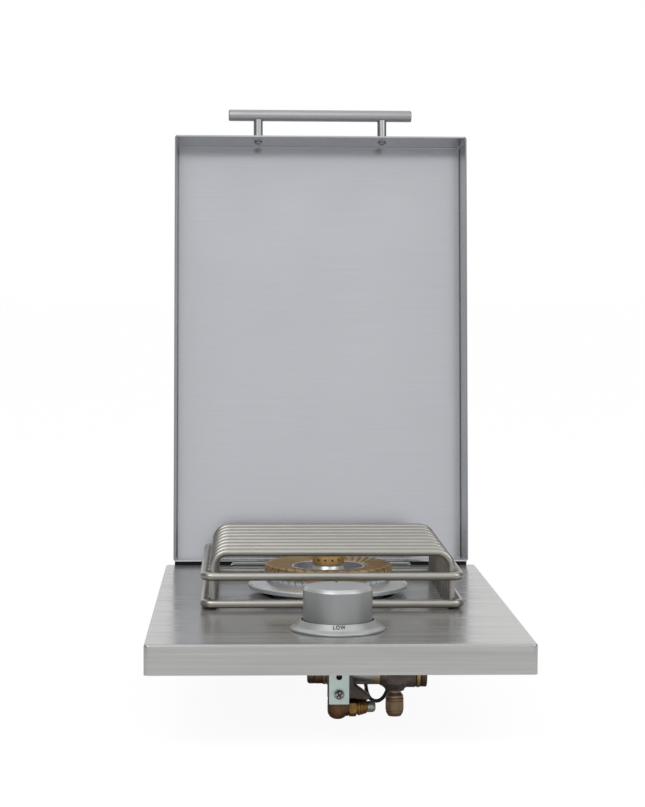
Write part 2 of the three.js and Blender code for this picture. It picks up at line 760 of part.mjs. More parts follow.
// Brass ring: a turned channel whose crown is waved into spiral flutes, with ports in its outer wall
function makeBurnerRing() {
  const low = ringSeat + seatGap;
  const arc = (from, to, rise, base) => Array.from({ length: crownSteps }, (unused, i) => {
    const turn = i / crownSteps * Math.PI / 2;
    return [from + (to - from) * Math.sin(turn), base + rise * Math.cos(turn)];
  });
  const outerCrown = arc(ringCrestRadius, ringRadius, ringCrest - ringShoulder, ringShoulder).reverse();
  const innerCrown = arc(ringCrestRadius, ringInner, ringCrest - ringInnerEdge, ringInnerEdge).slice(1);
  const section = [
    [ringInner, low], [ringRadius, low], [ringRadius, ringShoulder], ...outerCrown, ...innerCrown,
    [ringInner, ringInnerEdge], [ringInner, low],
  ];
  const points = section.map(([r, z]) => new THREE.Vector2(r, z));
  const geometry = new THREE.LatheGeometry(points, fluteCount * fluteSteps);
  geometry.applyMatrix4(axisTurns.z);
  const place = geometry.attributes.position;
  for (let i = 0; i < place.count; i += 1) {
    const [x, y, z] = [place.getX(i), place.getY(i), place.getZ(i)];
    const across = (ringRadius - Math.hypot(x, y)) / (ringRadius - ringInner);
    if (z > ringInnerEdge && across > 0 && across < 1) {
      const wave = Math.sin(fluteCount * (Math.atan2(y, x) + fluteTwist * across)) - 1;
      place.setZ(i, z + fluteDepth / 2 * wave * Math.sin(Math.PI * across));
    }
  }
  const channel = turned([
    [ringInner + ringWall, low - cutOverrun], [ringRadius - ringWall, low - cutOverrun],
    [ringRadius - ringWall, ringShoulder - ringWall / 2], [ringCrestRadius, ringCrest - ringRoof],
    [ringInner + ringWall, ringInnerEdge - ringWall / 2], [ringInner + ringWall, low - cutOverrun],
  ], roundSides);
  const port = rod(ringPortRadius, [ringRadius - ringWall - cutOverrun, ringRadius + cutOverrun], portSides,
    'x', [0, 0, low + ringPortLift]);
  const ports = Array.from({ length: ringPortCount }, (unused, i) => {
    return moved(port, [0, 0, 0], [0, 0, (i + 0.5) * 360 / ringPortCount]);
  });
  return moved(cut(solid(geometry), [channel, ...ports]), [0, burnerY, deckTop]);
}

// Centre cap: a ported brass cup and the crowned disc on it
function makeCentreCap() {
  const low = pedestalHigh + seatGap;
  const cup = turned([
    [capRadius - capWall, low], [capRadius, low], [capRadius, capHigh], [capNeckRadius, capHigh],
    [0, capHigh], [0, capHigh - capRoof], [capRadius - capWall, capHigh - capRoof],
    [capRadius - capWall, low],
  ], roundSides, 'z', [0, burnerY, deckTop]);
  const port = rod(capPortRadius, [capRadius - capWall - cutOverrun, capRadius + cutOverrun], portSides, 'x',
    [0, 0, low + capPortLift]);
  const ports = Array.from({ length: capPortCount }, (unused, i) => {
    return moved(port, [0, burnerY, deckTop], [0, 0, i * 360 / capPortCount]);
  });
  const discLow = capHigh + seatGap;
  const disc = turned([
    [0, discLow], [capNeckRadius, discLow], [capNeckRadius, discLow + capNeckHeight],
    [capLidRadius, discLow + capNeckHeight],
    [capLidRadius, discLow + capLidHeight - capLidCrown],
    [capLidRadius - capLidCrown, discLow + capLidHeight - capLidCrown / 2],
    [0, discLow + capLidHeight],
  ], roundSides, 'z', [0, burnerY, deckTop]);
  return [piece('burner_cap', cut(cup, ports), capBrass), piece('burner_cap_disc', disc, capBrass)];
}

// Pan under the deck's hole that the casting is screwed to, open for the tubes and the electrode
function makePan() {
  const floor = deckTop - bowlDepth - seatGap;
  const roof = deckUnder - seatGap;
  const wall = burnerHoleRadius + panSheet;
  const dish = turned([
    [0, floor - panSheet], [panFloorRadius, floor - panSheet], [wall, roof - panSheet],
    [wall + panFlange, roof - panSheet], [wall + panFlange, roof], [wall - panSheet, roof],
    [panFloorRadius - panSheet, floor], [0, floor],
  ], wideSides, 'z', [0, burnerY, 0]);
  const windowRadius = mixerBossRadius + panWindowGap;
  const feedZ = deckTop - feedDepth;
  const mouth = [burnerInset - wall - panFlange, burnerInset - throatRadius + panSheet];
  const window = join([
    ...[-1, 1].map((side) => {
      return rod(windowRadius, mouth, roundSides, 'y', [side * feedSpacing / 2, deckFront, feedZ]);
    }),
    block([-feedSpacing / 2, feedSpacing / 2], [deckFront + mouth[0], deckFront + mouth[1]],
      [feedZ - windowRadius, feedZ + windowRadius]),
  ]);
  const holes = [-1, 1].map((side) => {
    const place = [side * panScrewSpacing / 2, burnerY, floor];
    return rod(panScrewRadius + holeGap, [-panSheet - cutOverrun, cutOverrun], smallSides, 'z', place);
  });
  const collarHole = rod(insulatorCollar + panCollarGap, [-panSheet - cutOverrun, cutOverrun], roundSides,
    'z', [0, burnerY + electrodeOffset, floor]);
  const pan = [piece('burner_pan', cut(dish, [window, collarHole, ...holes]), brushedSteel)];
  for (const [side, sign] of [['left', -1], ['right', 1]]) {
    const fastener = moved(
      screw(panScrewRadius, panScrewLength, panScrewHeadRadius, panScrewHeadHeight),
      [sign * panScrewSpacing / 2, burnerY, floor - panSheet - seatGap], [180, 0, 0]);
    pan.push(piece(`burner_screw_${side}`, fastener, nickel));
  }
  return pan;
}

// Mixer tubes from the orifices to the casting's inlets
function makeFeed() {
  const feed = [];
  for (const [side, sign] of [['left', -1], ['right', 1]]) {
    const place = [sign * feedSpacing / 2, deckFront, deckTop - feedDepth];
    const end = burnerInset - throatRadius - seatGap;
    const inner = mixerRadius - mixerWall;
    const mixer = turned([
      [inner + mixerFlare, mixerMouth], [mixerRadius + mixerFlare, mixerMouth],
      [mixerRadius, mixerMouth + mixerFlareLength], [mixerRadius, end], [inner, end],
      [inner, mixerMouth + mixerFlareLength], [inner + mixerFlare, mixerMouth],
    ], tubeSides, 'y', place);
    const start = castingRear + seatGap;
    const tip = start + orificeLength;
    const orifice = turned([
      [orificeBore, start], [orificeRadius, start], [orificeRadius, tip - orificeRadius],
      [orificeBore + orificeRadius / 3, tip], [orificeBore, tip], [orificeBore, start],
    ], smallSides, 'y', place);
    feed.push(piece(`mixer_tube_${side}`, mixer, satinAluminium));
    feed.push(piece(`orifice_${side}`, orifice, brass));
  }
  return feed;
}

// Knob, bush, marker, stem and bezel
function makeKnob() {
  const at = [0, knobY, deckTop];
  const roof = knobHigh - knobCrown;
  const cup = turned([
    [bushRadius + holeGap, hubLow], [hubRadius, hubLow], [hubRadius, roof],
    [knobRadius - knobWall, roof], [knobRadius - knobWall, knobLow], [knobRadius, knobLow],
    [knobRadius, knobHigh - knobChamferHeight], [knobRadius - knobChamfer, knobHigh], [0, knobHigh],
    [0, hubLow + bushLength + seatGap], [bushRadius + holeGap, hubLow + bushLength + seatGap],
    [bushRadius + holeGap, hubLow],
  ], wideSides, 'z', at);
  const markerRear = knobRadius - knobChamfer;
  const slot = moved(block([-markerWidth / 2 - holeGap, markerWidth / 2 + holeGap],
    [markerRear - markerLength - holeGap, markerRear + knobChamfer],
    [knobHigh - markerDepth - holeGap, knobHigh + cutOverrun]), at);
  const marker = moved(block([-markerWidth / 2, markerWidth / 2], [markerRear - markerLength, markerRear],
    [knobHigh - markerDepth, knobHigh]), at);
  const shaft = (radius, flat, from, to) => cut(rod(radius, [from, to], tubeSides, 'z', at), [
    moved(block([-2 * radius, 2 * radius], [flat, 2 * radius], [0, to + cutOverrun]), at),
  ]);
  const bush = cut(rod(bushRadius, [hubLow, hubLow + bushLength], tubeSides, 'z', at), [
    shaft(stemRadius + holeGap, stemFlat + holeGap, hubLow - cutOverrun, stemHigh + seatGap),
  ]);
  const stem = shaft(stemRadius, stemFlat, -stemLow, stemHigh);
  return [
    piece('knob_body', cut(cup, [slot]), satinAluminium),
    piece('knob_marker', marker, markerInk),
    piece('knob_bush', bush, nickel),
    piece('valve_stem', stem, nickel),
  ];
}

function makeBezel() {
  const at = [0, knobY, deckTop];
  const inner = knobRadius + bezelRimGap;
  const rim = inner + bezelRimWidth;
  const flank = Array.from({ length: bendSteps }, (unused, i) => {
    const share = (i + 1) / bendSteps;
    const sag = Math.sin(share * Math.PI) * bezelEdge / 2;
    return [
      bezelRadius + (rim - bezelRadius) * share - sag,
      bezelEdge + (bezelHigh - bezelEdge) * share - sag / 2,
    ];
  });
  const ring = turned([
    [bezelHole, seatGap], [bezelRadius, seatGap], [bezelRadius, bezelEdge], ...flank,
    [inner, bezelHigh], [inner, bezelFloor + seatGap], [bezelHole, bezelFloor + seatGap],
    [bezelHole, seatGap],
  ], wideSides, 'z', at);
  const holes = [-1, 1].map((side) => {
    return rod(bezelScrewRadius + holeGap, [-cutOverrun, bezelFloor + cutOverrun + seatGap], smallSides, 'z',
      [side * bezelScrewSpacing / 2, knobY, deckTop]);
  });
  const bezel = [piece('knob_bezel', cut(ring, holes), satinAluminium)];
  for (const [side, sign] of [['left', -1], ['right', 1]]) {
    const fastener = moved(
      screw(bezelScrewRadius, bezelScrewLength, bezelScrewHeadRadius, bezelScrewHeadHeight),
      [sign * bezelScrewSpacing / 2, knobY, deckTop + bezelFloor + 2 * seatGap]);
    bezel.push(piece(`bezel_screw_${side}`, fastener, nickel));
  }
  return bezel;
}

// Valve casting: stem boss, body behind the bracket and the arm over the lower outlet
function makeValve() {
  const at = [0, knobY, deckTop];
  const front = deckFront + castingFront;
  const rear = deckFront + castingRear;
  const outline = [
    [-castingHalfWidth, -bossHigh], [castingHalfWidth, -bossHigh], [castingHalfWidth, -bossLow],
    [castingWaist, -armHigh], [armReach, -armLow], [castingWaist, -armLow], [castingWaist, -castingLow],
    [-castingWaist, -castingLow], [-castingWaist, -armHigh], [-castingHalfWidth, -bossLow],
  ];
  const shape = new THREE.Shape(outline.map(([x, z]) => new THREE.Vector2(x, z)));
  const geometry = new THREE.ExtrudeGeometry(shape, { depth: castingRear - castingFront, bevelEnabled: false });
  geometry.rotateX(Math.PI / 2);
  geometry.translate(0, rear, deckTop);
  const boss = rod(bossRadius, [-bossLow, -bossHigh], roundSides, 'z', at);
  const plugHole = turned([
    [0, -plugLow - seatGap], [plugLowRadius + holeGap, -plugLow - seatGap],
    [plugRadius + holeGap, -plugHigh + seatGap], [plugRadius + holeGap, 0], [0, 0],
  ], roundSides, 'z', at);
  const bracketScrewHole = rod(bracketScrewRadius + holeGap,
    [front - cutOverrun, front + bracketScrewLength], smallSides, 'y', [0, 0, deckTop - bracketScrewDepth]);
  const feedHoles = [-1, 1].map((side) => {
    const place = [side * feedSpacing / 2, 0, deckTop - feedDepth];
    return rod(orificeRadius + holeGap, [rear - cutOverrun, rear + bossRadius * 2], smallSides, 'y', place);
  });
  const casting = cut(solid(geometry).add(boss), [plugHole, bracketScrewHole, ...feedHoles]);
  const plug = turned([
    [0, -plugLow], [plugLowRadius, -plugLow], [plugRadius, -plugHigh], [plugBore, -plugHigh],
    [plugBore, -plugLow + plugFloor], [0, -plugLow + plugFloor],
  ], roundSides, 'z', at);
  return [piece('valve_body', casting, darkCasting), piece('valve_plug', plug, brass)];
}

// Return spring under the stem, one open helix from the plug's floor to the stem
function makeSpring() {
  const coilRadius = plugBore - holeGap * 2 - springWire / 2;
  const low = -plugLow + plugFloor + seatGap + springWire / 2;
  const high = -stemLow - seatGap - springWire / 2;
  const count = springTurns * springSteps;
  const stations = Array.from({ length: count + 1 }, (unused, i) => {
    const turn = i / springSteps * 2 * Math.PI;
    return new THREE.Vector3(coilRadius * Math.cos(turn), knobY + coilRadius * Math.sin(turn),
      deckTop + low + (high - low) * i / count);
  });
  const pitch = (high - low) / springTurns;
  console.log(`valve_spring gap between turns ${(pitch - springWire).toFixed(2)} mm`);
  return piece('valve_spring', swept(stations, springWire / 2, springSides), nickel);
}

// Bracket: a tongue under the deck, bent down in front of the valve
function makeBracket() {
  const front = deckFront + bracketFront;
  const roof = deckUnder - seatGap;
  const strip = bentStrip([
    [front, deckTop - bracketLow], [front, roof], [front + bracketTongue, roof],
  ], -bracketSheet, bracketWidth, acrossX);
  const span = [front - cutOverrun, front + bracketSheet + cutOverrun];
  const sightHole = rod(bracketHoleRadius, span, tubeSides, 'y', [0, 0, deckTop - bracketHoleDepth]);
  const screwHole = rod(bracketScrewRadius + holeGap, span, smallSides, 'y', [0, 0, deckTop - bracketScrewDepth]);
  const stemHole = rod(plugRadius + holeGap, [-bracketTongue, cutOverrun], roundSides, 'z', [0, knobY, roof]);
  const washerGap = front - seatGap;
  const toothed = Array.from({ length: washerTeeth * 2 }, (unused, i) => {
    const turn = i / washerTeeth * Math.PI;
    const radius = i % 2 ? washerRadius : washerRadius - washerSheet;
    return new THREE.Vector2(radius * Math.cos(turn), radius * Math.sin(turn));
  });
  const washer = moved(cut(prism(new THREE.Shape(toothed), [0, washerSheet]), [
    rod(bracketScrewRadius + holeGap, [-cutOverrun, cutOverrun], smallSides),
  ]), [0, washerGap, deckTop - bracketScrewDepth], [90, 0, 0]);
  const bearing = washerGap - washerSheet - seatGap;
  const shank = front + bracketSheet + seatGap + bracketScrewLength - cutOverrun - bearing;
  const fastener = moved(screw(bracketScrewRadius, shank, bracketScrewHeadRadius, bracketScrewHeadHeight),
    [0, bearing, deckTop - bracketScrewDepth], [90, 0, 0]);
  return [
    piece('valve_bracket', cut(strip, [sightHole, screwHole, stemHole]), zincPlate),
    piece('bracket_washer', washer, nickel),
    piece('bracket_screw', fastener, nickel),
  ];
}

// Gas pipe with its plug on the left, and the inlet tee with its end fittings on the right
function makePipe() {
  const y = deckFront + pipeInset;
  const place = [0, y, deckTop - pipeDepth];
  const bore = pipeRadius - pipeWall;
  const thread = bore - holeGap;
  const plugEnd = pipeLeft - seatGap;
  const plugStart = plugEnd - plugCapLength;
  const plug = turned([
    [0, plugStart], [plugCapRadius - plugCapEdge, plugStart], [plugCapRadius, plugStart + plugCapEdge],
    [plugCapRadius, plugEnd - plugCollarLength], [plugCollarRadius, plugEnd - plugCollarLength],
    [plugCollarRadius, plugEnd], [thread, plugEnd], [thread, plugEnd + plugThreadLength],
    [0, plugEnd + plugThreadLength],
  ], tubeSides, 'x', place);
  const boss = turned([
    [0, -pipeDepth], [teeBossRadius, -pipeDepth], [teeBossRadius, -pipeDepth - teeShoulder],
    [teeBossNeck, -teeBossLow], [0, -teeBossLow],
  ], roundSides, 'z', [teeBossX, y, deckTop]);
  const body = rod(teeRadius, [teeLeft, teeRight], roundSides, 'x', place);
  const socket = rod(pipeRadius + holeGap, [teeLeft - teeRadius, pipeRight + seatGap], roundSides, 'x', place);
  const passage = rod(nutBore, [-teeBossLow - cutOverrun, -pipeDepth], smallSides, 'z', [teeBossX, y, deckTop]);
  const outlet = rod(thread + holeGap, [teeRight - plugThreadLength, teeRight + cutOverrun],
    roundSides, 'x', place);
  const ringStart = teeRight + seatGap;
  const ringEnd = ringStart + teeRingWidth;
  const ring = tube(teeRingRadius, thread + holeGap, [ringStart, ringEnd], roundSides, 'x', place);
  const endStart = ringEnd + seatGap;
  const endPlug = turned([
    [0, teeRight - plugThreadLength + seatGap], [thread, teeRight - plugThreadLength + seatGap],
    [thread, endStart], [teePlugRadius, endStart], [teePlugRadius, endStart + teePlugLength - plugCapEdge / 2],
    [teePlugRadius - plugCapEdge / 2, endStart + teePlugLength], [0, endStart + teePlugLength],
  ], roundSides, 'x', place);
  const nutHigh = -teeBossLow - seatGap;
  const nutLow = nutHigh - nutLength;
  const [flare, low, high, groove, bead, shoulder] = nutShares.map((share) => nutLow + nutLength * share);
  const nut = turned([
    [nutBore, nutLow], [nutNeck, nutLow], [nutRadius - nutGroove, flare], [nutRadius, low], [nutRadius, high],
    [nutRadius - nutGroove, groove], [nutRadius, bead], [nutRadius - nutGroove, shoulder],
    [nutNeck, nutHigh], [nutBore, nutHigh], [nutBore, nutLow],
  ], tubeSides, 'z', [teeBossX, y, deckTop]);
  return [
    piece('gas_pipe', tube(pipeRadius, bore, [pipeLeft, pipeRight], roundSides, 'x', place), nickel),
    piece('pipe_plug', plug, agedBrass),
    piece('inlet_tee', cut(body.add(boss), [socket, passage, outlet]), darkCasting),
    piece('tee_ring', ring, brass),
    piece('tee_plug', endPlug, agedBrass),
    piece('inlet_nut', nut, agedBrass),
  ];
}

// Lower outlet: an elbow under the casting, a grooved hexagon nut and a bored tip
function makeOutlet() {
  const y = deckFront + outletInset;
  const top = deckTop - castingLow - seatGap;
  const centre = deckTop - outletDepth;
  const bowl = Array.from({ length: bendSteps }, (unused, i) => {
    const turn = i / bendSteps * Math.PI / 2;
    return [elbowRadius * Math.sin(turn), centre - elbowRadius * Math.cos(turn)];
  });
  const drop = turned([...bowl, [elbowRadius, centre], [elbowRadius, top], [0, top]], tubeSides, 'z', [0, y, 0]);
  const nutAxis = [0, y, deckTop - outletNutDepth];
  const arm = rod(elbowArm, [0, elbowReach], tubeSides, 'x', nutAxis);
  const nutStart = elbowReach + seatGap;
  const nutEnd = nutStart + outletNutLength;
  const third = outletNutLength / 3;
  const slim = outletNutRadius - outletNutGroove;
  const nut = turned([
    [0, nutStart], [slim, nutStart], [outletNutRadius, nutStart + outletNutGroove],
    [outletNutRadius, nutStart + third], [slim, nutStart + third + outletNutGroove],
    [outletNutRadius, nutStart + third + 2 * outletNutGroove], [outletNutRadius, nutEnd - third],
    [slim, nutEnd], [0, nutEnd],
  ], 6, 'x', nutAxis);
  const tipStart = nutEnd + seatGap;
  const tipEnd = tipStart + outletTipLength;
  const tip = turned([
    [0, tipStart], [outletTipRadius, tipStart], [outletTipRadius, tipEnd - outletTipBore],
    [outletTipRadius - outletTipBore, tipEnd], [outletTipBore, tipEnd],
    [outletTipBore, tipEnd - outletTipBore * 2], [0, tipEnd - outletTipBore * 2],
  ], smallSides, 'x', nutAxis);
  return [
    piece('outlet_elbow', drop.add(arm), agedBrass),
    piece('outlet_nut', nut, brass),
    piece('outlet_tip', tip, nickel),
  ];
}

// Ignition: piezo housing, electrode behind the centre cap, and the lead held between them
const leadRoute = [
  [25, 74.6, -19], [25, 78.5, -19.4], [25, 83, -21.4], [25, 88, -24.6], [25, 93, -28.6], [25, 97, -34],
  [25, 99, -40.5], [25.1, 99.6, -47.5], [25.6, 99.4, -54], [27, 98.8, -60], [30.4, 98.4, -64.8], [35, 98.4, -66],
  [39.4, 98.8, -64], [42.6, 99.6, -59.6], [45, 101, -54], [47, 104.4, -48.4], [48.6, 111, -44.6],
];
const leadRunShares = [
  [49.4, 0.057, -43], [49, 0.203, -43], [48, 0.385, -43], [46, 0.542, -44], [41, 0.688, -46],
  [32, 0.818, -48], [20, 0.922, -49.6], [9, 0.979, -50], [3, 0.997, -48.6], [0.6, 1, -45], [0, 1, -39.8],
];
const leadSplit = 8;

function makeIgnition() {
  const back = deckFront + castingRear;
  const left = castingHalfWidth + seatGap;
  const plan = roundedRectangle(piezoWidth, piezoLength, piezoEdge, 1);
  const housing = moved(prism(plan, [deckTop - piezoHigh - piezoHeight, deckTop - piezoHigh]),
    [left + piezoWidth / 2, back - piezoLength / 2, 0]);
  const electrodeY = burnerY + electrodeOffset;
  const collarTop = -bowlDepth - seatGap;
  const insulator = turned([
    [0, -insulatorLow], [insulatorRadius, -insulatorLow], [insulatorRadius, collarTop - insulatorCollarHeight],
    [insulatorCollar, collarTop - insulatorCollarHeight], [insulatorCollar, collarTop],
    [insulatorRadius, collarTop], [insulatorRadius, insulatorHigh], [0, insulatorHigh],
  ], smallSides, 'z', [0, electrodeY, deckTop]);
  const tipLow = deckTop + insulatorHigh + seatGap;
  const bendY = electrodeY - electrodeBend;
  const pin = swept([
    new THREE.Vector3(0, electrodeY, tipLow),
    ...quarterBend(new THREE.Vector3(0, bendY, tipLow + electrodeRise), electrodeBend, unitY, unitZ, 2),
    new THREE.Vector3(0, bendY - electrodeReach, tipLow + electrodeRise + electrodeBend),
  ], electrodeRadius, rivetSides);
  const runStart = deckFront + leadRoute[leadRoute.length - 1][1];
  const route = [
    ...leadRoute.map(([x, y, z]) => new THREE.Vector3(x, deckFront + y, deckTop + z)),
    ...leadRunShares.map(([x, share, z]) => {
      return new THREE.Vector3(x, runStart + (electrodeY - runStart) * share, deckTop + z);
    }),
  ];
  const red = route.slice(0, leadSplit + 1);
  const black = route.slice(leadSplit);
  const shift = black[1].clone().sub(black[0]).setLength(seatGap);
  black[0] = black[0].clone().add(shift);
  return [
    piece('piezo_housing', housing, blackPlastic),
    piece('electrode_insulator', insulator, ceramic),
    piece('electrode_pin', pin, nickel),
    piece('ignition_lead_red', swept(red, leadRadius, leadSides), redSleeve),
    piece('ignition_lead_black', swept(black, leadRadius, leadSides), blackPlastic),
  ];
}

const sideBurner = new THREE.Group();
sideBurner.name = 'side_burner';
sideBurner.add(
  makeDeck(), ...makeHinge(), makeLid(), ...makeGrate(),
  piece('burner_body', makeBurnerBody(), castAluminium),
  piece('burner_ring', makeBurnerRing(), brass),
  ...makeCentreCap(), ...makePan(), ...makeFeed(), ...makeKnob(), ...makeBezel(),
  ...makeValve(), makeSpring(), ...makeBracket(), ...makePipe(), ...makeOutlet(), ...makeIgnition(),
);

export default sideBurner;
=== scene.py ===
# Built-in side burner: every piece as it is finished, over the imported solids.
# Pieces are drawn in millimetres: x to the right, y to the back, z up from the counter.
from itertools import product
from math import atan2, cos, hypot, pi, radians, sin, tan, tau

import bmesh
import bpy
from mathutils import Matrix, Vector


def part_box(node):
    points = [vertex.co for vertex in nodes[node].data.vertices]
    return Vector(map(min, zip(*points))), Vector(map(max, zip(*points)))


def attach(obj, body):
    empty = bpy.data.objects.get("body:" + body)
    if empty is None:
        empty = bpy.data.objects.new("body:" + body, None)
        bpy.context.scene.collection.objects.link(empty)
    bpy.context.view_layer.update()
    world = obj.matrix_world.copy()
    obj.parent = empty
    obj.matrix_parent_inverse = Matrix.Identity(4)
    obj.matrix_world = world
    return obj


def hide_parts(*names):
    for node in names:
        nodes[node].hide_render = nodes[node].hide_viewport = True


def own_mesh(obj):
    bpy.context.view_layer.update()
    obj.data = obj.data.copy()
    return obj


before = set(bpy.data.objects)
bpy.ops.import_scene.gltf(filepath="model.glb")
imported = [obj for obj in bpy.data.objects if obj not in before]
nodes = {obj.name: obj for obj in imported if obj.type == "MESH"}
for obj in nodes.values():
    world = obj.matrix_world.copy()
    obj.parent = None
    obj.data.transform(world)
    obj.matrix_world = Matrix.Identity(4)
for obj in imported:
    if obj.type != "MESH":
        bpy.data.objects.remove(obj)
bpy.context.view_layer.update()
print("frame loaded")

layout = {
    "deckTop": 25, "burnerY": 271, "knobY": 65.7, "hingeY": 454.3, "hingeZ": 27.1,
    "lidOpen": 96.4, "seat": 0.3, "feedX": 11, "feedZ": 5,
}
deckTop, seat = layout["deckTop"], layout["seat"]
burnerAt = (0, layout["burnerY"], deckTop)
knobAt = (0, layout["knobY"], deckTop)
hingeAt = (0, layout["hingeY"], layout["hingeZ"])
signs = (-1, 1)
sides = tuple(zip(("left", "right"), signs))


def asObject(name, data):
    piece = bpy.data.objects.new(name, data)
    bpy.context.scene.collection.objects.link(piece)
    return piece


# camera
view = {"place": (-0.07633, -1.65518, 0.31707), "yaw": 2.094, "pitch": -3.406, "roll": 0.227, "lens": 92.34}


def addCamera():
    yaw, pitch, roll = (radians(view[key]) for key in ("yaw", "pitch", "roll"))
    ahead = Vector((sin(yaw) * cos(pitch), cos(yaw) * cos(pitch), sin(pitch)))
    right = Vector((cos(yaw), -sin(yaw), 0))
    up = right.cross(ahead)
    right, up = right * cos(roll) + up * sin(roll), up * cos(roll) - right * sin(roll)
    data = bpy.data.cameras.new("camera")
    data.sensor_fit = "VERTICAL"
    data.sensor_height = 36
    data.lens = view["lens"]
    data.clip_start = 0.01
    camera = asObject("camera", data)
    camera.matrix_world = Matrix.Translation(view["place"]) @ Matrix((right, up, -ahead)).transposed().to_4x4()
    bpy.context.scene.camera = camera


addCamera()
print("camera set")


# shader maths
class Wire:
    def __init__(self, tree, socket=None):
        self.tree = tree
        self.socket = socket

    # any node: its type, its settings, then the values or wires of its sockets
    def add(self, kind, settings=None, values=None, out=0):
        node = self.tree.nodes.new("ShaderNode" + kind)
        for name, value in (settings or {}).items():
            setattr(node, name, value)
        for name, value in (values or {}).items():
            if isinstance(value, Wire):
                self.tree.links.new(value.socket, node.inputs[name])
            else:
                node.inputs[name].default_value = value
        return Wire(self.tree, node.outputs[out])

    def maths(self, operation, second=0.0, first=None):
        return self.add("Math", {"operation": operation}, {0: self if first is None else first, 1: second})

    def __add__(self, other):
        return self.maths("ADD", other)

    def __sub__(self, other):
        return self.maths("SUBTRACT", other)

    def __rsub__(self, other):
        return self.maths("SUBTRACT", self, other)

    def __mul__(self, other):
        return self.maths("MULTIPLY", other)

    def __truediv__(self, other):
        return self.maths("DIVIDE", other)

    def __gt__(self, other):
        return self.maths("GREATER_THAN", other)

    def __lt__(self, other):
        return self.maths("LESS_THAN", other)


def paint(red, green, blue):
    # a colour as it is read off a screen, made linear
    shades = [value / 255 for value in (red, green, blue)]
    return tuple(s / 12.92 if s <= 0.04045 else ((s + 0.055) / 1.055) ** 2.4 for s in shades)


def shaderOf(material):
    return material.node_tree.nodes["Principled BSDF"]


def startFinish(name, base, roughness, metallic):
    material = bpy.data.materials.new(name)
    material.use_nodes = True
    for socket, value in (("Base Color", (*base, 1)), ("Roughness", roughness), ("Metallic", metallic)):
        shaderOf(material).inputs[socket].default_value = value
    return material, Wire(material.node_tree).add("TexCoord", out=3)


def feed(material, **links):
    for name, value in links.items():
        value.tree.links.new(value.socket, shaderOf(material).inputs[name.replace("_", " ")])


def mixed(mask, low, high):
    low, high = (colour if isinstance(colour, Wire) else (*colour, 1) for colour in (low, high))
    return mask.add("Mix", {"data_type": "RGBA"}, {0: mask, 6: low, 7: high}, out=2)


def noise(place, scale, detail=3.0, rough=0.55):
    return place.add("TexNoise", None, {"Vector": place, "Scale": scale, "Detail": detail, "Roughness": rough})


def stretched(place, scale):
    return place.add("Mapping", {"vector_type": "POINT"}, {"Vector": place, "Scale": scale})


def ranged(mask, low, high, least=0.0, most=1.0):
    values = {"Value": mask, "From Min": low, "From Max": high, "To Min": least, "To Max": most}
    return mask.add("MapRange", {"clamp": True}, values)


def bumped(height, strength, distance):
    return height.add("Bump", None, {"Strength": strength, "Distance": distance, "Height": height})


def aboutCentre(place, centre):
    return place.add("VectorMath", {"operation": "SUBTRACT"}, {0: place, 1: centre})


def axesOf(vector):
    split = vector.add("SeparateXYZ", None, {"Vector": vector})
    return [Wire(vector.tree, socket) for socket in split.socket.node.outputs]


def brushed(name, low, high, roughness, scale, bump=0.02, smudge=0.05, metallic=1.0, patches=(9, 9, 9)):
    # fine lines along the axis with the small scale, over soft patches
    material, place = startFinish(name, low, roughness, metallic)
    grain = noise(stretched(place, scale), 1.0, 4.0, 0.7)
    patch = noise(stretched(place, patches), 1.0, 2.0)
    mask = ranged(grain * 0.6 + patch * 0.4, 0.3, 0.7)
    rough = ranged(patch, 0.35, 0.65, roughness - smudge, roughness + smudge) + (grain - 0.5) * smudge
    feed(material, Base_Color=mixed(mask, low, high), Roughness=rough)
    if bump:
        feed(material, Normal=bumped(grain, bump, 0.0002))
    return material


def lathed(name, low, high, roughness, centre, bump=0.05, metallic=1.0, pitch=0.0006):
    # fine rings about an upright axis, as a lathe tool leaves them
    material, place = startFinish(name, low, roughness, metallic)
    about = aboutCentre(place, centre)
    flat = about.add("VectorMath", {"operation": "MULTIPLY"}, {0: about, 1: (1, 1, 0)})
    reach = flat.add("VectorMath", {"operation": "LENGTH"}, {0: flat}, out=1)
    spot = reach.add("CombineXYZ", None, {"X": reach / pitch, "Y": axesOf(about)[2] / pitch, "Z": 0.0})
    grain = noise(spot, 1.0, 2.0, 0.6)
    patch = noise(place, 60.0, 3.0)
    mask = ranged(grain * 0.5 + patch * 0.5, 0.3, 0.7)
    feed(material, Base_Color=mixed(mask, low, high), Normal=bumped(grain, bump, 0.0002),
         Roughness=ranged(patch, 0.3, 0.7, roughness - 0.06, roughness + 0.08))
    return material


def cast(name, low, high, roughness, pitScale, bump, metallic=1.0, blotch=40.0):
    # sand-cast or tumbled skin: fine pits over larger stains
    material, place = startFinish(name, low, roughness, metallic)
    pits = noise(place, pitScale, 4.0, 0.65)
    spread = noise(place, blotch, 4.0, 0.6)
    mask = ranged(spread * 0.7 + pits * 0.3, 0.36, 0.64)
    feed(material, Base_Color=mixed(mask, low, high), Normal=bumped(pits, bump, 0.0003),
         Roughness=ranged(pits, 0.3, 0.7, roughness - 0.08, roughness + 0.1))
    return material


def moulded(name, low, high, roughness):
    return cast(name, low, high, roughness, 1800, 0.1, 0, 120)


burnerAxis, knobAxis = (tuple(value / 1000 for value in place) for place in (burnerAt, knobAt))
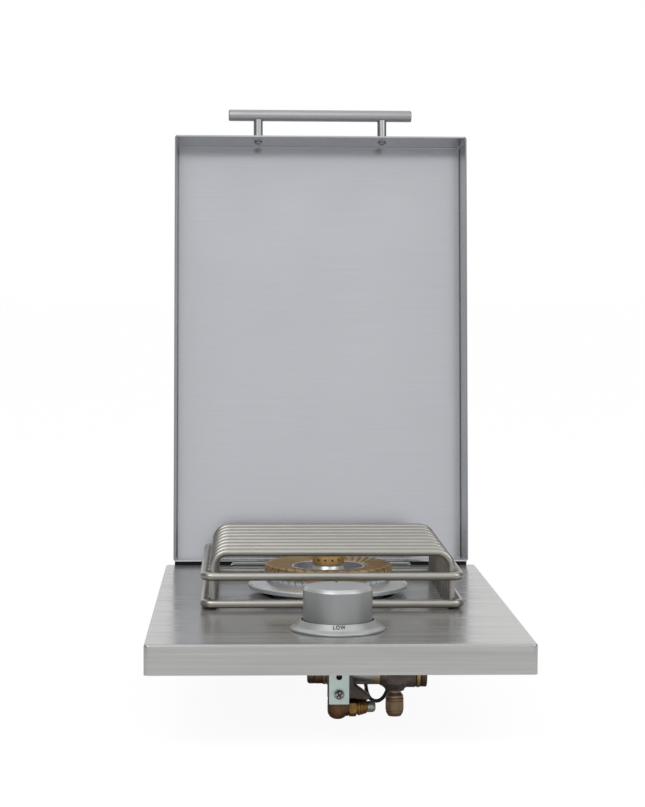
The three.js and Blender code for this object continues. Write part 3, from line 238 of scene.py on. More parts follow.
# each finish: its kind, dark and light shade, roughness and slot, then what the kind asks for
finishes = {
    "lidSteel": (brushed, (180, 182, 187), (189, 191, 196), 0.19, "brushed_steel",
                 (14, 1600, 1600), 0, 0.02, 0.9),
    "deckSteel": (brushed, (168, 168, 167), (190, 190, 188), 0.22, "brushed_steel",
                  (5, 500, 500), 0, 0.05, 0.6, (5, 110, 110)),
    "rodSteel": (brushed, (161, 159, 153), (172, 170, 164), 0.36, "rod_steel", (60, 300, 300), 0, 0.02),
    "barSteel": (brushed, (160, 160, 161), (175, 175, 177), 0.34, "brushed_steel", (20, 1400, 1400)),
    "pressedSteel": (brushed, (150, 151, 152), (172, 172, 172), 0.36, "brushed_steel", (30, 700, 700)),
    "panSteel": (brushed, (70, 69, 68), (96, 95, 93), 0.5, "brushed_steel", (30, 700, 700)),
    "castingAluminium": (cast, (228, 231, 234), (240, 243, 246), 0.33, "cast_aluminium", 900, 0.02, 0.72),
    "knobAluminium": (lathed, (150, 151, 152), (162, 163, 164), 0.34, "satin_aluminium",
                      knobAxis, 0.01, 0.75, 0.0004),
    "bezelAluminium": (cast, (178, 179, 179), (190, 191, 191), 0.36, "satin_aluminium", 1200, 0.04, 0.85),
    "tubeAluminium": (brushed, (160, 162, 166), (184, 186, 190), 0.4, "satin_aluminium", (500, 30, 500)),
    "ringBrass": (lathed, (188, 155, 106), (216, 182, 128), 0.34, "ring_brass", burnerAxis, 0.01),
    "capBrass": (lathed, (214, 178, 124), (240, 206, 150), 0.36, "cap_brass", burnerAxis),
    "nutBrass": (cast, (92, 68, 42), (166, 128, 72), 0.4, "ring_brass", 700, 0.2, 1, 90),
    "elbowBrass": (cast, (78, 59, 45), (136, 103, 72), 0.44, "aged_brass", 500, 0.3, 1, 70),
    "agedBrass": (cast, (62, 49, 44), (118, 94, 80), 0.4, "aged_brass", 600, 0.3, 1, 90),
    "collarBrass": (cast, (120, 98, 72), (160, 134, 102), 0.42, "aged_brass", 700, 0.15),
    "goldBrass": (cast, (150, 124, 84), (178, 150, 106), 0.36, "ring_brass", 700, 0.15),
    "knurlBrass": (cast, (136, 114, 92), (190, 166, 138), 0.48, "aged_brass", 1400, 0.4),
    "zincPlate": (cast, (204, 223, 219), (220, 236, 230), 0.42, "zinc_plate", 2600, 0.12, 0.5),
    "darkCasting": (cast, (66, 59, 55), (112, 103, 97), 0.46, "dark_casting", 700, 0.7, 0.8),
    "pipeSteel": (cast, (150, 146, 139), (184, 181, 176), 0.42, "nickel", 400, 0.05, 1, 60),
    "brightPlate": (cast, (160, 162, 164), (188, 189, 190), 0.28, "nickel", 600, 0.08),
    "blackPlastic": (moulded, (22, 22, 23), (38, 38, 40), 0.45, "black_plastic"),
    "blackRubber": (moulded, (20, 18, 17), (32, 29, 27), 0.8, "black_rubber"),
    "redSleeve": (moulded, (84, 14, 24), (116, 26, 38), 0.5, "red_sleeve"),
    "whiteCeramic": (moulded, (222, 218, 208), (238, 235, 227), 0.35, "ceramic"),
    # marking ink on the knob, and painted shade in the bracket screw's recess
    "markInk": (moulded, (58, 52, 48), (74, 68, 62), 0.6, "nickel"),
    "wordInk": (moulded, (34, 26, 20), (42, 33, 27), 0.7, "marker_ink"),
}
looks, slotOf = {}, {}
for name, (kind, low, high, roughness, slot, *rest) in finishes.items():
    looks[name] = kind(name, paint(*low), paint(*high), roughness, *rest)
    slotOf[name] = slot
shaderOf(looks["deckSteel"]).inputs["Specular Tint"].default_value = (0.85, 0.85, 0.85, 1)


def maskAbout(name, centre, maskOf):
    # the mask's value at a place about a centre
    return maskOf(*axesOf(aboutCentre(Wire(looks[name].node_tree).add("TexCoord", out=3), centre)))


def tintAndPaintedLight(name, mask, colour):
    # a second colour where the mask is high: painted light and shade, and a tint
    below = Wire(mask.tree, shaderOf(looks[name]).inputs["Base Color"].links[0].from_socket)
    feed(looks[name], Base_Color=mixed(mask, below, paint(*colour)))


def hub(low, high, floor, roof):
    # all that lies between two radii and two heights about an upright axis
    def maskOf(x, y, height):
        reach = (x * x + y * y).maths("SQRT")
        return (reach > low) * (reach < high) * ((height > floor) * (height < roof))
    return maskOf


flutes = {"count": 36, "twist": 0.34, "share": 0.75, "depth": 0.9, "outer": 59.5, "inner": 35.2, "foot": 0.0243}


# painted shade in the grooves of the spiral flutes on the ring's crown
def fluteGrooveShade(x, y, height):
    outer, inner = flutes["outer"] / 1000, flutes["inner"] / 1000
    across = (outer - (x * x + y * y).maths("SQRT")) / (outer - inner)
    turn = (y.maths("ARCTAN2", x) + across * flutes["twist"]) * flutes["count"] - flutes["share"] * tau
    return ranged(turn.maths("COSINE"), 0.3, 1.0, 0.0, 0.5) * (height > flutes["foot"])


def nearMiddle(x, y, height):
    return ranged(x.maths("ABSOLUTE"), 0.02, 0.012)


# painted reflection: the lid's side walls darker, as if mirroring dark surroundings
def sideWallShade(x, y, height):
    return x.maths("ABSOLUTE") > 0.1486


# painted shade: near black for hollows and holes that shade hides
paintedShade = (12, 11, 10)
# second colours: painted shade, painted light and a tint on the pipe
tintsAndPaintedLight = (
    # painted shade in the flute grooves
    ("ringBrass", burnerAxis, fluteGrooveShade, (92, 70, 44)),
    # painted shade inside the ring's channel, below its crown
    ("ringBrass", burnerAxis, hub(0.037, 0.0591, -1, 0.0249), paintedShade),
    # painted shade inside the cap, seen through its ports
    ("capBrass", burnerAxis, hub(-1, 0.0136, -1, 0.0345), paintedShade),
    # painted shade on the seat under the cap, so that the ports look dark
    ("castingAluminium", burnerAxis, hub(-1, 0.0126, 0.0263, 1), paintedShade),
    # painted shade on the walls of the well about the seat
    ("castingAluminium", burnerAxis, hub(0.0203, 0.0334, -1, 0.0252), (190, 193, 198)),
    # painted light: the knob's top face lighter than its sides
    ("knobAluminium", knobAxis, hub(-1, 0.0267, 0.0337, 1), (190, 192, 193)),
    # painted highlight on the knob's top chamfer
    ("knobAluminium", knobAxis, hub(0.0267, 0.03, 0.0337, 1), (200, 201, 201)),
    ("pipeSteel", (0.049, 0.076, 0), nearMiddle, (190, 150, 98)),
    # painted reflection, darker on the lid's side walls
    ("lidSteel", (0, 0, 0), sideWallShade, (138, 140, 144)),
)
for name, centre, maskOf, colour in tintsAndPaintedLight:
    tintAndPaintedLight(name, maskAbout(name, centre, maskOf), colour)

# painted shade: what faces down on the grate's rods is darker and browner
facing = axesOf(Wire(looks["rodSteel"].node_tree).add("TexCoord", out=1))[2]
tintAndPaintedLight("rodSteel", ranged(facing * -1, 0.0, 0.8), (122, 111, 100))

# the casting's notched wall is less of a mirror
notchedWall = {"zone": (0.05, 0.0574, 0.0138, 0.026), "metallic": 0.1}
full = shaderOf(looks["castingAluminium"]).inputs["Metallic"].default_value
wall = maskAbout("castingAluminium", burnerAxis, hub(*notchedWall["zone"]))
feed(looks["castingAluminium"], Metallic=wall * (notchedWall["metallic"] - full) + full)
print("finishes made")


# modelling helpers
cornerSteps = 4
mergeReach = 0.002


def rounded(profile):
    # profile corners are (radius, height) or (radius, height, rounding)
    closed = profile[0][:2] == profile[-1][:2]
    corners = profile[:-1] if closed else profile
    line = []
    for index, corner in enumerate(corners):
        here = Vector(corner[:2])
        if len(corner) == 2:
            line.append(here)
            continue
        toBefore = (Vector(corners[index - 1][:2]) - here).normalized()
        toAfter = (Vector(corners[(index + 1) % len(corners)][:2]) - here).normalized()
        half = toBefore.angle(toAfter) / 2
        centre = here + (toBefore + toAfter).normalized() * corner[2] / sin(half)
        start = here + toBefore * corner[2] / tan(half) - centre
        end = here + toAfter * corner[2] / tan(half) - centre
        for step in range(cornerSteps + 1):
            line.append(centre + start.lerp(end, step / cornerSteps).normalized() * corner[2])
    return line, closed


def moved(form, vec):
    bmesh.ops.translate(form, verts=form.verts, vec=vec)
    return form


def turned(form, matrix, centre=(0, 0, 0)):
    bmesh.ops.rotate(form, verts=form.verts, cent=centre, matrix=matrix)
    return form


turnTo = {
    "Z": Matrix.Identity(3),
    "X": Matrix.Rotation(pi / 2, 3, "Y"),
    "Y": Matrix.Rotation(-pi / 2, 3, "X"),
    "front": Matrix.Rotation(pi / 2, 3, "X"),
    "down": Matrix.Rotation(pi, 3, "X"),
}


def placed(form, at=(0, 0, 0), axis="Z"):
    return moved(turned(form, turnTo[axis]), at)


def faced(form):
    bmesh.ops.recalc_face_normals(form, faces=form.faces)
    return form


def merged(form):
    bmesh.ops.remove_doubles(form, verts=form.verts, dist=mergeReach)
    return form


def softened(form, edges, offset, segments):
    bmesh.ops.bevel(form, geom=edges, offset=offset, segments=segments, profile=0.5, affect="EDGES",
                    material=-1)
    return form


def extruded(form, edges, vec=(0, 0, 0)):
    # the corners and edges grown from a row of edges
    grown = bmesh.ops.extrude_edge_only(form, edges=edges)["geom"]
    verts = [item for item in grown if isinstance(item, bmesh.types.BMVert)]
    bmesh.ops.translate(form, verts=verts, vec=vec)
    return verts, [item for item in grown if isinstance(item, bmesh.types.BMEdge)]


def spun(profile, steps=96, at=(0, 0, 0), axis="Z"):
    form = bmesh.new()
    line, closed = rounded(profile)
    corners = [form.verts.new((r, 0, h)) for r, h in line]
    pairs = list(zip(corners, corners[1:])) + ([(corners[-1], corners[0])] if closed else [])
    edges = [form.edges.new(pair) for pair in pairs]
    bmesh.ops.spin(form, geom=corners + edges, cent=(0, 0, 0), axis=(0, 0, 1), angle=tau,
                   steps=steps, use_merge=True)
    return placed(faced(merged(form)), at, axis)


def peg(radius, low, high, steps, at=(0, 0, 0), axis="Z"):
    return spun([(0, low), (radius, low), (radius, high), (0, high)], steps, at, axis)


def block(low, high, bevel=0.0, segments=2):
    form = bmesh.new()
    size = [b - a for a, b in zip(low, high)]
    bmesh.ops.create_cube(form, size=1)
    bmesh.ops.scale(form, vec=size, verts=form.verts)
    moved(form, [(a + b) / 2 for a, b in zip(low, high)])
    return softened(form, form.edges[:], bevel, segments) if bevel else form


def asMesh(name, form):
    mesh = bpy.data.meshes.new(name)
    form.to_mesh(mesh)
    form.free()
    return mesh


def joined(*forms):
    whole = forms[0]
    for form in forms[1:]:
        mesh = asMesh("part", form)
        whole.from_mesh(mesh)
        bpy.data.meshes.remove(mesh)
    return whole


def carved(form, cutters, operation="DIFFERENCE"):
    body, tool = asObject("body", asMesh("body", form)), asObject("tool", asMesh("tool", cutters))
    change = body.modifiers.new("change", "BOOLEAN")
    change.operation = operation
    change.solver = "EXACT"
    change.object = tool
    bpy.context.view_layer.update()
    result = bmesh.new()
    result.from_object(body, bpy.context.evaluated_depsgraph_get())
    for piece in (body, tool):
        mesh = piece.data
        bpy.data.objects.remove(piece)
        bpy.data.meshes.remove(mesh)
    return result


def around(form, count, start=0.0):
    # copies of a form about the z axis
    whole = bmesh.new()
    mesh = asMesh("copy", form)
    for index in range(count):
        before = len(whole.verts)
        whole.from_mesh(mesh)
        whole.verts.ensure_lookup_table()
        turn = Matrix.Rotation(start + index * tau / count, 3, "Z")
        bmesh.ops.rotate(whole, verts=whole.verts[before:], cent=(0, 0, 0), matrix=turn)
    bpy.data.meshes.remove(mesh)
    return whole


def along(radius, start, heading, moves, sides=24, closed=False, bendSteps=10):
    # a rod that runs on by each number and turns by each (bend radius, side it turns to, degrees)
    form = bmesh.new()
    heading = Vector(heading)
    bmesh.ops.create_circle(form, cap_ends=not closed, radius=radius, segments=sides)
    moved(turned(form, Vector((0, 0, 1)).rotation_difference(heading).to_matrix()), start)
    place = Vector(start)
    edges = form.edges[:]
    for move in moves:
        if isinstance(move, tuple):
            bend, side, degrees = move
            side = Vector(side)
            centre = place + side * bend
            axis = heading.cross(side)
            swing = bmesh.ops.spin(form, geom=edges, cent=centre, axis=axis,
                                   angle=radians(degrees), steps=bendSteps)
            edges = [item for item in swing["geom_last"] if isinstance(item, bmesh.types.BMEdge)]
            spin = Matrix.Rotation(radians(degrees), 3, axis)
            place = centre + spin @ (place - centre)
            heading = spin @ heading
        else:
            verts, grown = extruded(form, edges, heading * move)
            edges = [edge for edge in grown if set(edge.verts) <= set(verts)]
            place += heading * move
    if not closed:
        bmesh.ops.contextual_create(form, geom=edges)
    return faced(merged(form))


def meshed(data):
    # the mesh of a curve or a text, which is then dropped
    holder = asObject(data.name, data)
    bpy.context.view_layer.update()
    mesh = bpy.data.meshes.new_from_object(holder.evaluated_get(bpy.context.evaluated_depsgraph_get()))
    form = bmesh.new()
    form.from_mesh(mesh)
    bpy.data.meshes.remove(mesh)
    bpy.data.objects.remove(holder)
    bpy.data.curves.remove(data)
    return form


def threaded(points, radius):
    # a round lead that runs smoothly through its points
    data = bpy.data.curves.new("route", "CURVE")
    data.dimensions = "3D"
    data.bevel_depth = radius
    data.bevel_resolution = data.resolution_u = 6
    data.use_fill_caps = True
    line = data.splines.new("BEZIER")
    line.bezier_points.add(len(points) - 1)
    for spot, point in zip(line.bezier_points, points):
        spot.co = point
        spot.handle_left_type = spot.handle_right_type = "AUTO"
    return merged(meshed(data))


shading = {"sharp": 32, "flat": 0.02, "larger": 60}


def finished(name, form, look, solid=None, body="base", sharp=shading["sharp"]):
    # flat faces keep their own shading beside the small faces of a bend
    for face in form.faces:
        face.smooth = True
    for edge in form.edges:
        if len(edge.link_faces) == 2:
            small, large = sorted(face.calc_area() for face in edge.link_faces)
            angle = edge.calc_face_angle(0)
            level = angle < shading["flat"] or large < shading["larger"] * small
            edge.smooth = angle < radians(sharp) and level
    bmesh.ops.scale(form, vec=(0.001, 0.001, 0.001), verts=form.verts)
    piece = asObject(name, asMesh(name, form))
    piece.data.materials.append(looks[look])
    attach(piece, body)
    # without one given, a piece replaces the solid of its own name
    solid = solid or "".join("_" + letter.lower() if letter.isupper() else letter for letter in name)
    if solid in nodes:
        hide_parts(solid)
    return piece


def crossScrew(headRadius, headHeight, shankRadius, shankLength):
    # pan head with a cross recess, standing on z = 0 with its shank below
    dome = headHeight * 0.55
    head = spun([(0, -shankLength), (shankRadius, -shankLength, 0.3), (shankRadius, 0),
                 (headRadius, 0, headHeight * 0.12), (headRadius, headHeight - dome, dome * 0.6),
                 (headRadius * 0.55, headHeight, dome * 0.4), (0, headHeight)], 40)
    arm, wide, low = headRadius * 0.62, headRadius * 0.17, headHeight * 0.35
    head = carved(head, block((-arm, -wide, low), (arm, wide, headHeight * 2)))
    return carved(head, block((-wide, -arm, low), (wide, arm, headHeight * 2)))


def foldedPan(pan):
    # sheet folded down on four sides, open below, standing on z = 0
    width, depth, height = pan["width"], pan["depth"], pan["height"]
    form = block((-width / 2, -depth / 2, 0), (width / 2, depth / 2, height))
    under = [face for face in form.faces if face.normal.z < -0.5]
    bmesh.ops.delete(form, geom=under, context="FACES_ONLY")
    upright = [edge for edge in form.edges if abs(edge.verts[0].co.z - edge.verts[1].co.z) > 1]
    softened(form, upright, pan["corner"], 6)
    top = [edge for edge in form.edges if all(vert.co.z > height - 0.01 for vert in edge.verts)]
    softened(form, top, pan["bend"], 5)
    if "flange" in pan:
        verts = extruded(form, [edge for edge in form.edges if edge.is_boundary])[0]
        share = [1 - 2 * pan["flange"] / size for size in (width, depth)]
        bmesh.ops.scale(form, vec=(*share, 1), verts=verts)
    bmesh.ops.solidify(faced(form), geom=form.faces[:], thickness=pan["sheet"])
    return faced(form)


def feedAt(sign, about=(0, 0, 0)):
    # a place on the left or right feed's axis, from another place
    return Vector((sign * layout["feedX"], 0, layout["feedZ"])) - Vector(about)


# deck
deck = {
    "width": 318, "depth": 470, "height": 25, "sheet": 1.5, "bend": 2, "corner": 4, "flange": 16, "front": -8,
    "burnerHole": (63, -5, 5, 128), "stemHole": (9, -5, 5, 48), "screwHole": (2.15, -5, 5, 20), "screwX": 19,
}


def makeDeck():
    pan = moved(foldedPan(deck), (0, deck["front"] + deck["depth"] / 2, 0))
    cutters = [peg(*deck["burnerHole"], burnerAt), peg(*deck["stemHole"], knobAt)]
    cutters += [peg(*deck["screwHole"], (sign * deck["screwX"], *knobAt[1:])) for sign in signs]
    finished("deckPan", carved(pan, joined(*cutters)), "deckSteel")


makeDeck()
print("deck made")


# lid and handle
lid = {
    "width": 302.5, "depth": 440, "height": 60, "sheet": 1.5, "bend": 2, "corner": 3, "rim": -1.6, "wall": -2.1,
    "bar": [(0, -96), (6, -96, 1.4), (6, 96, 1.4), (0, 96)], "standoff": 26.5, "handleZ": 28.4,
    "post": [(0, -21.7), (4.75, -21.7), (4.75, -0.3, 0.4), (0, -0.3)], "postX": 65,
    "screw": (4.2, 2.2, 2.2, 13.8),
    # black rubber outside the hinge wall: left, right, thickness, foot and head of each block
    "strips": ((-150, 150, 2.45, 5.7, 9.6), (-150, -92, 3.25, 2.2, 6), (92, 150, 3.25, 2.2, 6)),
    "stripEdge": 0.4,
}


def onLid(name, form, look):
    # from the shut lid, about the hinge pin, to where the lid stands open
    turned(form, Matrix.Rotation(-radians(layout["lidOpen"]), 3, "X"))
    finished(name, moved(form, hingeAt), look, body="lid")


def makeLid():
    onLid("lidShell", moved(foldedPan(lid), (0, lid["wall"] - lid["depth"] / 2, lid["rim"])), "lidSteel")
    face, handleZ = lid["wall"] - lid["depth"], lid["handleZ"]
    onLid("handleBar", spun(lid["bar"], 64, (0, face - lid["standoff"], handleZ), "X"), "barSteel")
    for side, sign in sides:
        x = sign * lid["postX"]
        onLid("handlePost_" + side, spun(lid["post"], 48, (x, face, handleZ), "Y"), "barSteel")
        screw = placed(crossScrew(*lid["screw"]), (x, face + lid["sheet"] + seat, handleZ), "Y")
        onLid("handleScrew_" + side, screw, "brightPlate")
    face = lid["wall"] + seat
    strips = [block((left, face, foot), (right, face + thick, head), lid["stripEdge"], 3)
              for left, right, thick, foot, head in lid["strips"]]
    onLid("lidRestStrip", joined(*strips), "blackRubber")


makeLid()
print("lid and handle made")


# hinge
hinge = {
    "length": 180, "knuckles": 9, "knuckleRadius": 1.8, "knuckleEdge": 0.15, "bore": 1,
    "leafSheet": 0.8, "leafStart": 1.2, "leafWidth": 5.4, "leafEdge": 0.12,
    "rivets": 8, "rivetSpacing": 25, "rivetHeight": 0.6, "rivetShare": 0.62,
    "pin": [(0, -91.1), (1.6, -91.1, 0.3), (1.6, -90.3), (0.9, -90.3), (0.9, 90.3), (1.6, 90.3),
            (1.6, 91.1, 0.3), (0, 91.1)],
}


def makeLeaf(first, grip):
    # leaf lying along +y from the pin, its rivets gripping a sheet below it
    radius, bore, edge = hinge["knuckleRadius"], hinge["bore"], hinge["knuckleEdge"]
    low, high = -radius, hinge["leafSheet"] - radius
    half = hinge["length"] / 2
    span = hinge["length"] / hinge["knuckles"]
    width = hinge["leafWidth"]
    pieces = [block((-half, hinge["leafStart"], low), (half, width, high), hinge["leafEdge"], 1)]
    for index in range(first, hinge["knuckles"], 2):
        start = -half + index * span + edge
        end = start + span - 2 * edge
        roll = [(bore, start), (radius, start, edge), (radius, end, edge), (bore, end), (bore, start)]
        pieces += [spun(roll, 28, (0, 0, 0), "X"), block((start, 0.2, low), (end, 1.4, high))]
    far, top = low - 2 * seat - grip, high + hinge["rivetHeight"]
    rivet = [(0, far - 0.6), (1.5, far - 0.5, 0.3), (1.9, far), (1, far), (1, high), (1.9, high),
             (1.75, high + 0.35, 0.2), (0.9, top, 0.4), (0, top)]
    for index in range(hinge["rivets"]):
        x = (index - (hinge["rivets"] - 1) / 2) * hinge["rivetSpacing"]
        pieces.append(spun(rivet, 24, (x, width * hinge["rivetShare"], 0)))
    return joined(*pieces)


def makeHinge():
    finished("hingeLeafDeck", moved(makeLeaf(0, deck["sheet"]), hingeAt), "pressedSteel")
    leaf = makeLeaf(1, lid["sheet"])
    for vert in leaf.verts:
        vert.co = vert.co.xzy
    leaf.normal_update()
    onLid("hingeLeafLid", faced(leaf), "pressedSteel")
    finished("hingePin", spun(hinge["pin"], 24, hingeAt, "X"), "brightPlate")


makeHinge()
print("hinge made")


# grate
grate = {
    "rod": 3.75, "bar": 3.4, "loops": 9, "pitch": 23.8, "width": 220, "bend": 13, "top": 53.5, "ringBend": 7.8,
    "lower": 5.3, "upper": 29.7, "sides": 28, "footEdge": 0.5,
    "weld": 2.1, "weldShape": (0.8, 1.5, 0.8), "weldShare": 0.42,
}


def makeGrate():
    rod, bar, bend, pitch = grate["rod"], grate["bar"], grate["bend"], grate["pitch"]
    legX = grate["width"] / 2 - rod
    foot = deckTop + seat
    rise = deckTop + grate["top"] - bar - bend - foot
    middle = (grate["loops"] - 1) / 2
    places = [layout["burnerY"] + (index - middle) * pitch for index in range(grate["loops"])]
    for index, y in enumerate(places):
        moves = [rise, (bend, (1, 0, 0), 90), 2 * (legX - bend), (bend, (0, 0, -1), 90), rise]
        loop = along(bar, (-legX, y, foot), (0, 0, 1), moves, grate["sides"])
        ends = [edge for edge in loop.edges if all(vert.co.z < foot + 0.01 for vert in edge.verts)]
        finished(f"grateLoop_{index + 1}", softened(loop, ends, grate["footEdge"], 3), "rodSteel",
                 f"grate_bar_{index + 1}", body="grate")
    ringX = legX + 2 * rod + seat
    ringY = middle * pitch + 2 * rod + seat
    bend = grate["ringBend"]
    runX, runY = 2 * (ringX - bend), 2 * (ringY - bend)
    moves = [runX / 2]
    for side, run in zip(((0, 1, 0), (-1, 0, 0), (0, -1, 0), (1, 0, 0)), (runY, runX, runY, runX / 2)):
        moves += [(bend, side, 90), run]
    for name in ("upper", "lower"):
        start = (0, layout["burnerY"] - ringY, deckTop + grate[name])
        ring = along(rod, start, (1, 0, 0), moves, grate["sides"], closed=True)
        finished("grateRing_" + name, ring, "rodSteel", body="grate")
    beads = []
    for y, sign, name, lift in product(places, signs, ("upper", "lower"), signs):
        bead = bmesh.new()
        bmesh.ops.create_uvsphere(bead, u_segments=12, v_segments=8, radius=grate["weld"])
        bmesh.ops.scale(bead, vec=grate["weldShape"], verts=bead.verts)
        z = deckTop + grate[name] + lift * rod * grate["weldShare"]
        beads.append(moved(bead, (sign * (legX + rod + seat / 2), y, z)))
    finished("grateWelds", joined(*beads), "rodSteel", body="grate")


makeGrate()
print("grate made")


# burner
burner = {
    "casting": [
        (0, -32), (46, -32, 5), (46, -13, 3), (52, -3, 3), (52, 10.4, 1), (72.9, 7.6), (72.9, 5.5, 0.4),
        (74.5, 5.5, 0.5), (74.5, 8.9, 0.5), (73.5, 9.3, 0.3), (73, 8.7, 0.3), (72.3, 9.5, 0.3),
        (57, 13.6, 0.6), (57, 17.3, 0.4), (52, 17.3, 0.4), (52, 9, 0.6), (40, 9, 0.6), (40, 17.3, 0.4),
        (34.4, 17.3, 0.4), (34.4, 25.7, 0.5), (32.5, 25.7, 0.5), (32.5, 14.6, 1.5), (19.5, 14.6, 1.2),
        (13.5, 26.2, 0.3), (12.1, 26.2), (12.1, 32.9, 0.4), (0, 32.9),
    ],
    "notches": 48, "notch": ((55, -0.6, 13.6), (60, 0.6, 25)),
    "slots": 8, "slot": ((20.5, -1.5, 9.6), (30.5, 1.5, 20)), "slotEdge": 0.6,
    "pinY": 24, "pinHole": (3.25, -40, 26, 32), "inlet": (8.3, 215, 240, 48),
    "boss": [(8.3, 219), (10.3, 219, 0.6), (10.3, 226), (8.3, 226), (8.3, 219)],
    "ringLow": 17.6, "ringShoulder": 25, "ringRise": 3.2, "crest": 56, "crownSteps": (7, 15),
    "fluteSteps": 12, "fluteRun": 5,
    "channel": [(38.2, 15), (56.5, 15), (56.5, 24.6, 0.6), (55, 24.8, 0.6), (38.2, 22.6, 1), (38.2, 15)],
    "ringPort": (1, 54.5, 61.5, 14, (0, 0, 23.8), "X"), "ringPorts": 52,
    "capPort": (1, 11, 17, 20, (0, 0, 31.8), "X"), "capPorts": 14,
    "cap": [(0, 33.2), (12.4, 33.2), (12.4, 26.5), (15, 26.5, 1.9), (15, 35.6, 0.3), (0, 35.6)],
    "disc": [(0, 35.9), (11, 35.9), (11, 36.5), (15.4, 36.5, 0.3), (15.4, 37.9, 0.7), (8, 38.5, 6), (0, 38.6)],
    "pan": [(0, -33.8), (58, -33.8, 3), (64.5, -3.3, 2.5), (80.5, -3.3), (80.5, -1.8), (63, -1.8, 1),
            (56.5, -32.3, 1.5), (0, -32.3)],
    "window": (11.3, 185, 220.5, 48), "between": ((-11, -86, -31.3), (11, -50.5, -8.7)),
    "pinWindow": (5.4, -40, -30, 40), "screwHole": (2.65, -40, -30, 24),
    "screwX": 28, "screwZ": -9.1, "screw": (4.4, 2.6, 2.4, 8),
}


def makeCasting():
    notches = around(block(*burner["notch"]), burner["notches"], pi / burner["notches"])
    slots = around(block(*burner["slot"], burner["slotEdge"], 2), burner["slots"], pi / burner["slots"])
    body = carved(spun(burner["casting"], 192), joined(notches, slots))
    holes = [peg(*burner["pinHole"], (0, burner["pinY"], 0))]
    holes += [peg(*burner["inlet"], feedAt(sign, burnerAt), "Y") for sign in signs]
    bosses = [spun(burner["boss"], 48, feedAt(sign, burnerAt), "Y") for sign in signs]
    body = joined(carved(body, joined(*holes)), *bosses)
    finished("burnerCasting", placed(body, burnerAt), "castingAluminium", "burner_body", sharp=28)


def makeRing():
    # a channel section turned once round, its crown pressed into spiral flutes
    low, crest, shoulder, rise = (burner[key] for key in ("ringLow", "crest", "ringShoulder", "ringRise"))
    outer, inner, share = (flutes[key] for key in ("outer", "inner", "share"))
    line = [(inner, low), (outer, low), (outer, shoulder)]
    outward, inward = burner["crownSteps"]
    for step in range(1, outward):
        turn = step / outward * pi / 2
        line.append((crest + (outer - crest) * cos(turn), shoulder + rise * sin(turn)))
    for step in range(inward):
        turn = step / inward * pi / 2
        line.append((crest - (crest - inner) * sin(turn), shoulder + rise * cos(turn)))
    line += [(inner, shoulder), (inner, low)]
    form = spun(line, flutes["count"] * burner["fluteSteps"])
    run = burner["fluteRun"]
    for vert in form.verts:
        across = (outer - hypot(vert.co.x, vert.co.y)) / (outer - inner)
        if vert.co.z > shoulder + 0.2 and 0.001 < across < 0.999:
            turn = flutes["count"] * (atan2(vert.co.y, vert.co.x) + flutes["twist"] * across)
            saw = (turn / tau) % 1
            groove = min(saw / share, (1 - saw) / (1 - share))
            vert.co.z -= flutes["depth"] * groove * min(1, run * across, run * (1 - across))
    form = carved(form, spun(burner["channel"], 96))
    ports = burner["ringPorts"]
    form = carved(form, around(peg(*burner["ringPort"]), ports, pi / ports))
    finished("burnerRing", placed(form, burnerAt), "ringBrass", body="outer_ring", sharp=24)


def makeCap():
    cup = carved(spun(burner["cap"]), around(peg(*burner["capPort"]), burner["capPorts"]))
    finished("burnerCap", placed(cup, burnerAt), "capBrass", body="centre_cap")
    finished("burnerCapDisc", spun(burner["disc"], at=burnerAt), "capBrass", body="centre_cap")


def makePan():
    dish = spun(burner["pan"], 160)
    windows = [peg(*burner["window"], feedAt(sign, burnerAt), "Y") for sign in signs]
    holes = [peg(*burner["pinWindow"], (0, burner["pinY"], 0))]
    holes += [peg(*burner["screwHole"], (sign * burner["screwX"], 0, 0)) for sign in signs]
    for cutter in (joined(windows[0], *holes), windows[1], block(*burner["between"])):
        dish = carved(dish, cutter)
    finished("burnerPan", placed(dish, burnerAt), "panSteel")
    for side, sign in sides:
        at = (sign * burner["screwX"], layout["burnerY"], burner["screwZ"])
        finished("burnerScrew_" + side, placed(crossScrew(*burner["screw"]), at, "down"), "brightPlate")


makeCasting()
makeRing()
makeCap()
makePan()
print("burner made")


# knob and bezel
knob = {
    "cup": [(0, 24.3), (5.25, 24.3), (5.25, 9, 0.2), (8.5, 9, 0.4), (8.5, 31.6, 0.8), (25.2, 31.6, 1.5),
            (25.2, 6, 0.4), (29.2, 6, 0.4), (29.2, 33.6, 0.5), (26.6, 36.6, 0.6), (0, 36.6)],
    "slot": ((-1.05, 19.35, 35.55), (1.05, 30.2, 38.6)),
    "bezel": [(9, 0.3), (40, 0.3, 0.2), (40, 1.7, 0.6), (36.2, 3.9, 5), (31.5, 8.7, 0.5), (30.4, 8.7, 0.4),
              (30.4, 1.8, 1), (9, 1.8), (9, 0.3)],
    "screw": (3.6, 2, 1.9, 7), "screwHeight": 2.1,
}
word = {"text": "LOW", "spread": 1.2, "offset": 0.02, "thick": 0.01, "wide": 10.2, "foot": (34.7, 5.43),
        "head": (31.9, 8.29), "lift": 0.08, "raised": 0.14}
spring = {"wire": 0.3, "sides": 8, "turns": 3.5, "turnSteps": 16, "travel": 2.5}


def makeKnob():
    cup = carved(spun(knob["cup"], 160), block(*knob["slot"]))
    finished("knobBody", placed(cup, knobAt), "knobAluminium", body="knob")
    holes = [peg(*deck["screwHole"], (sign * deck["screwX"], 0, 0)) for sign in signs]
    ring = carved(spun(knob["bezel"], 160), joined(*holes))
    finished("knobBezel", placed(ring, knobAt), "bezelAluminium")
    for side, sign in sides:
        at = (sign * deck["screwX"], layout["knobY"], deckTop + knob["screwHeight"])
        finished("bezelScrew_" + side, placed(crossScrew(*knob["screw"]), at), "brightPlate")


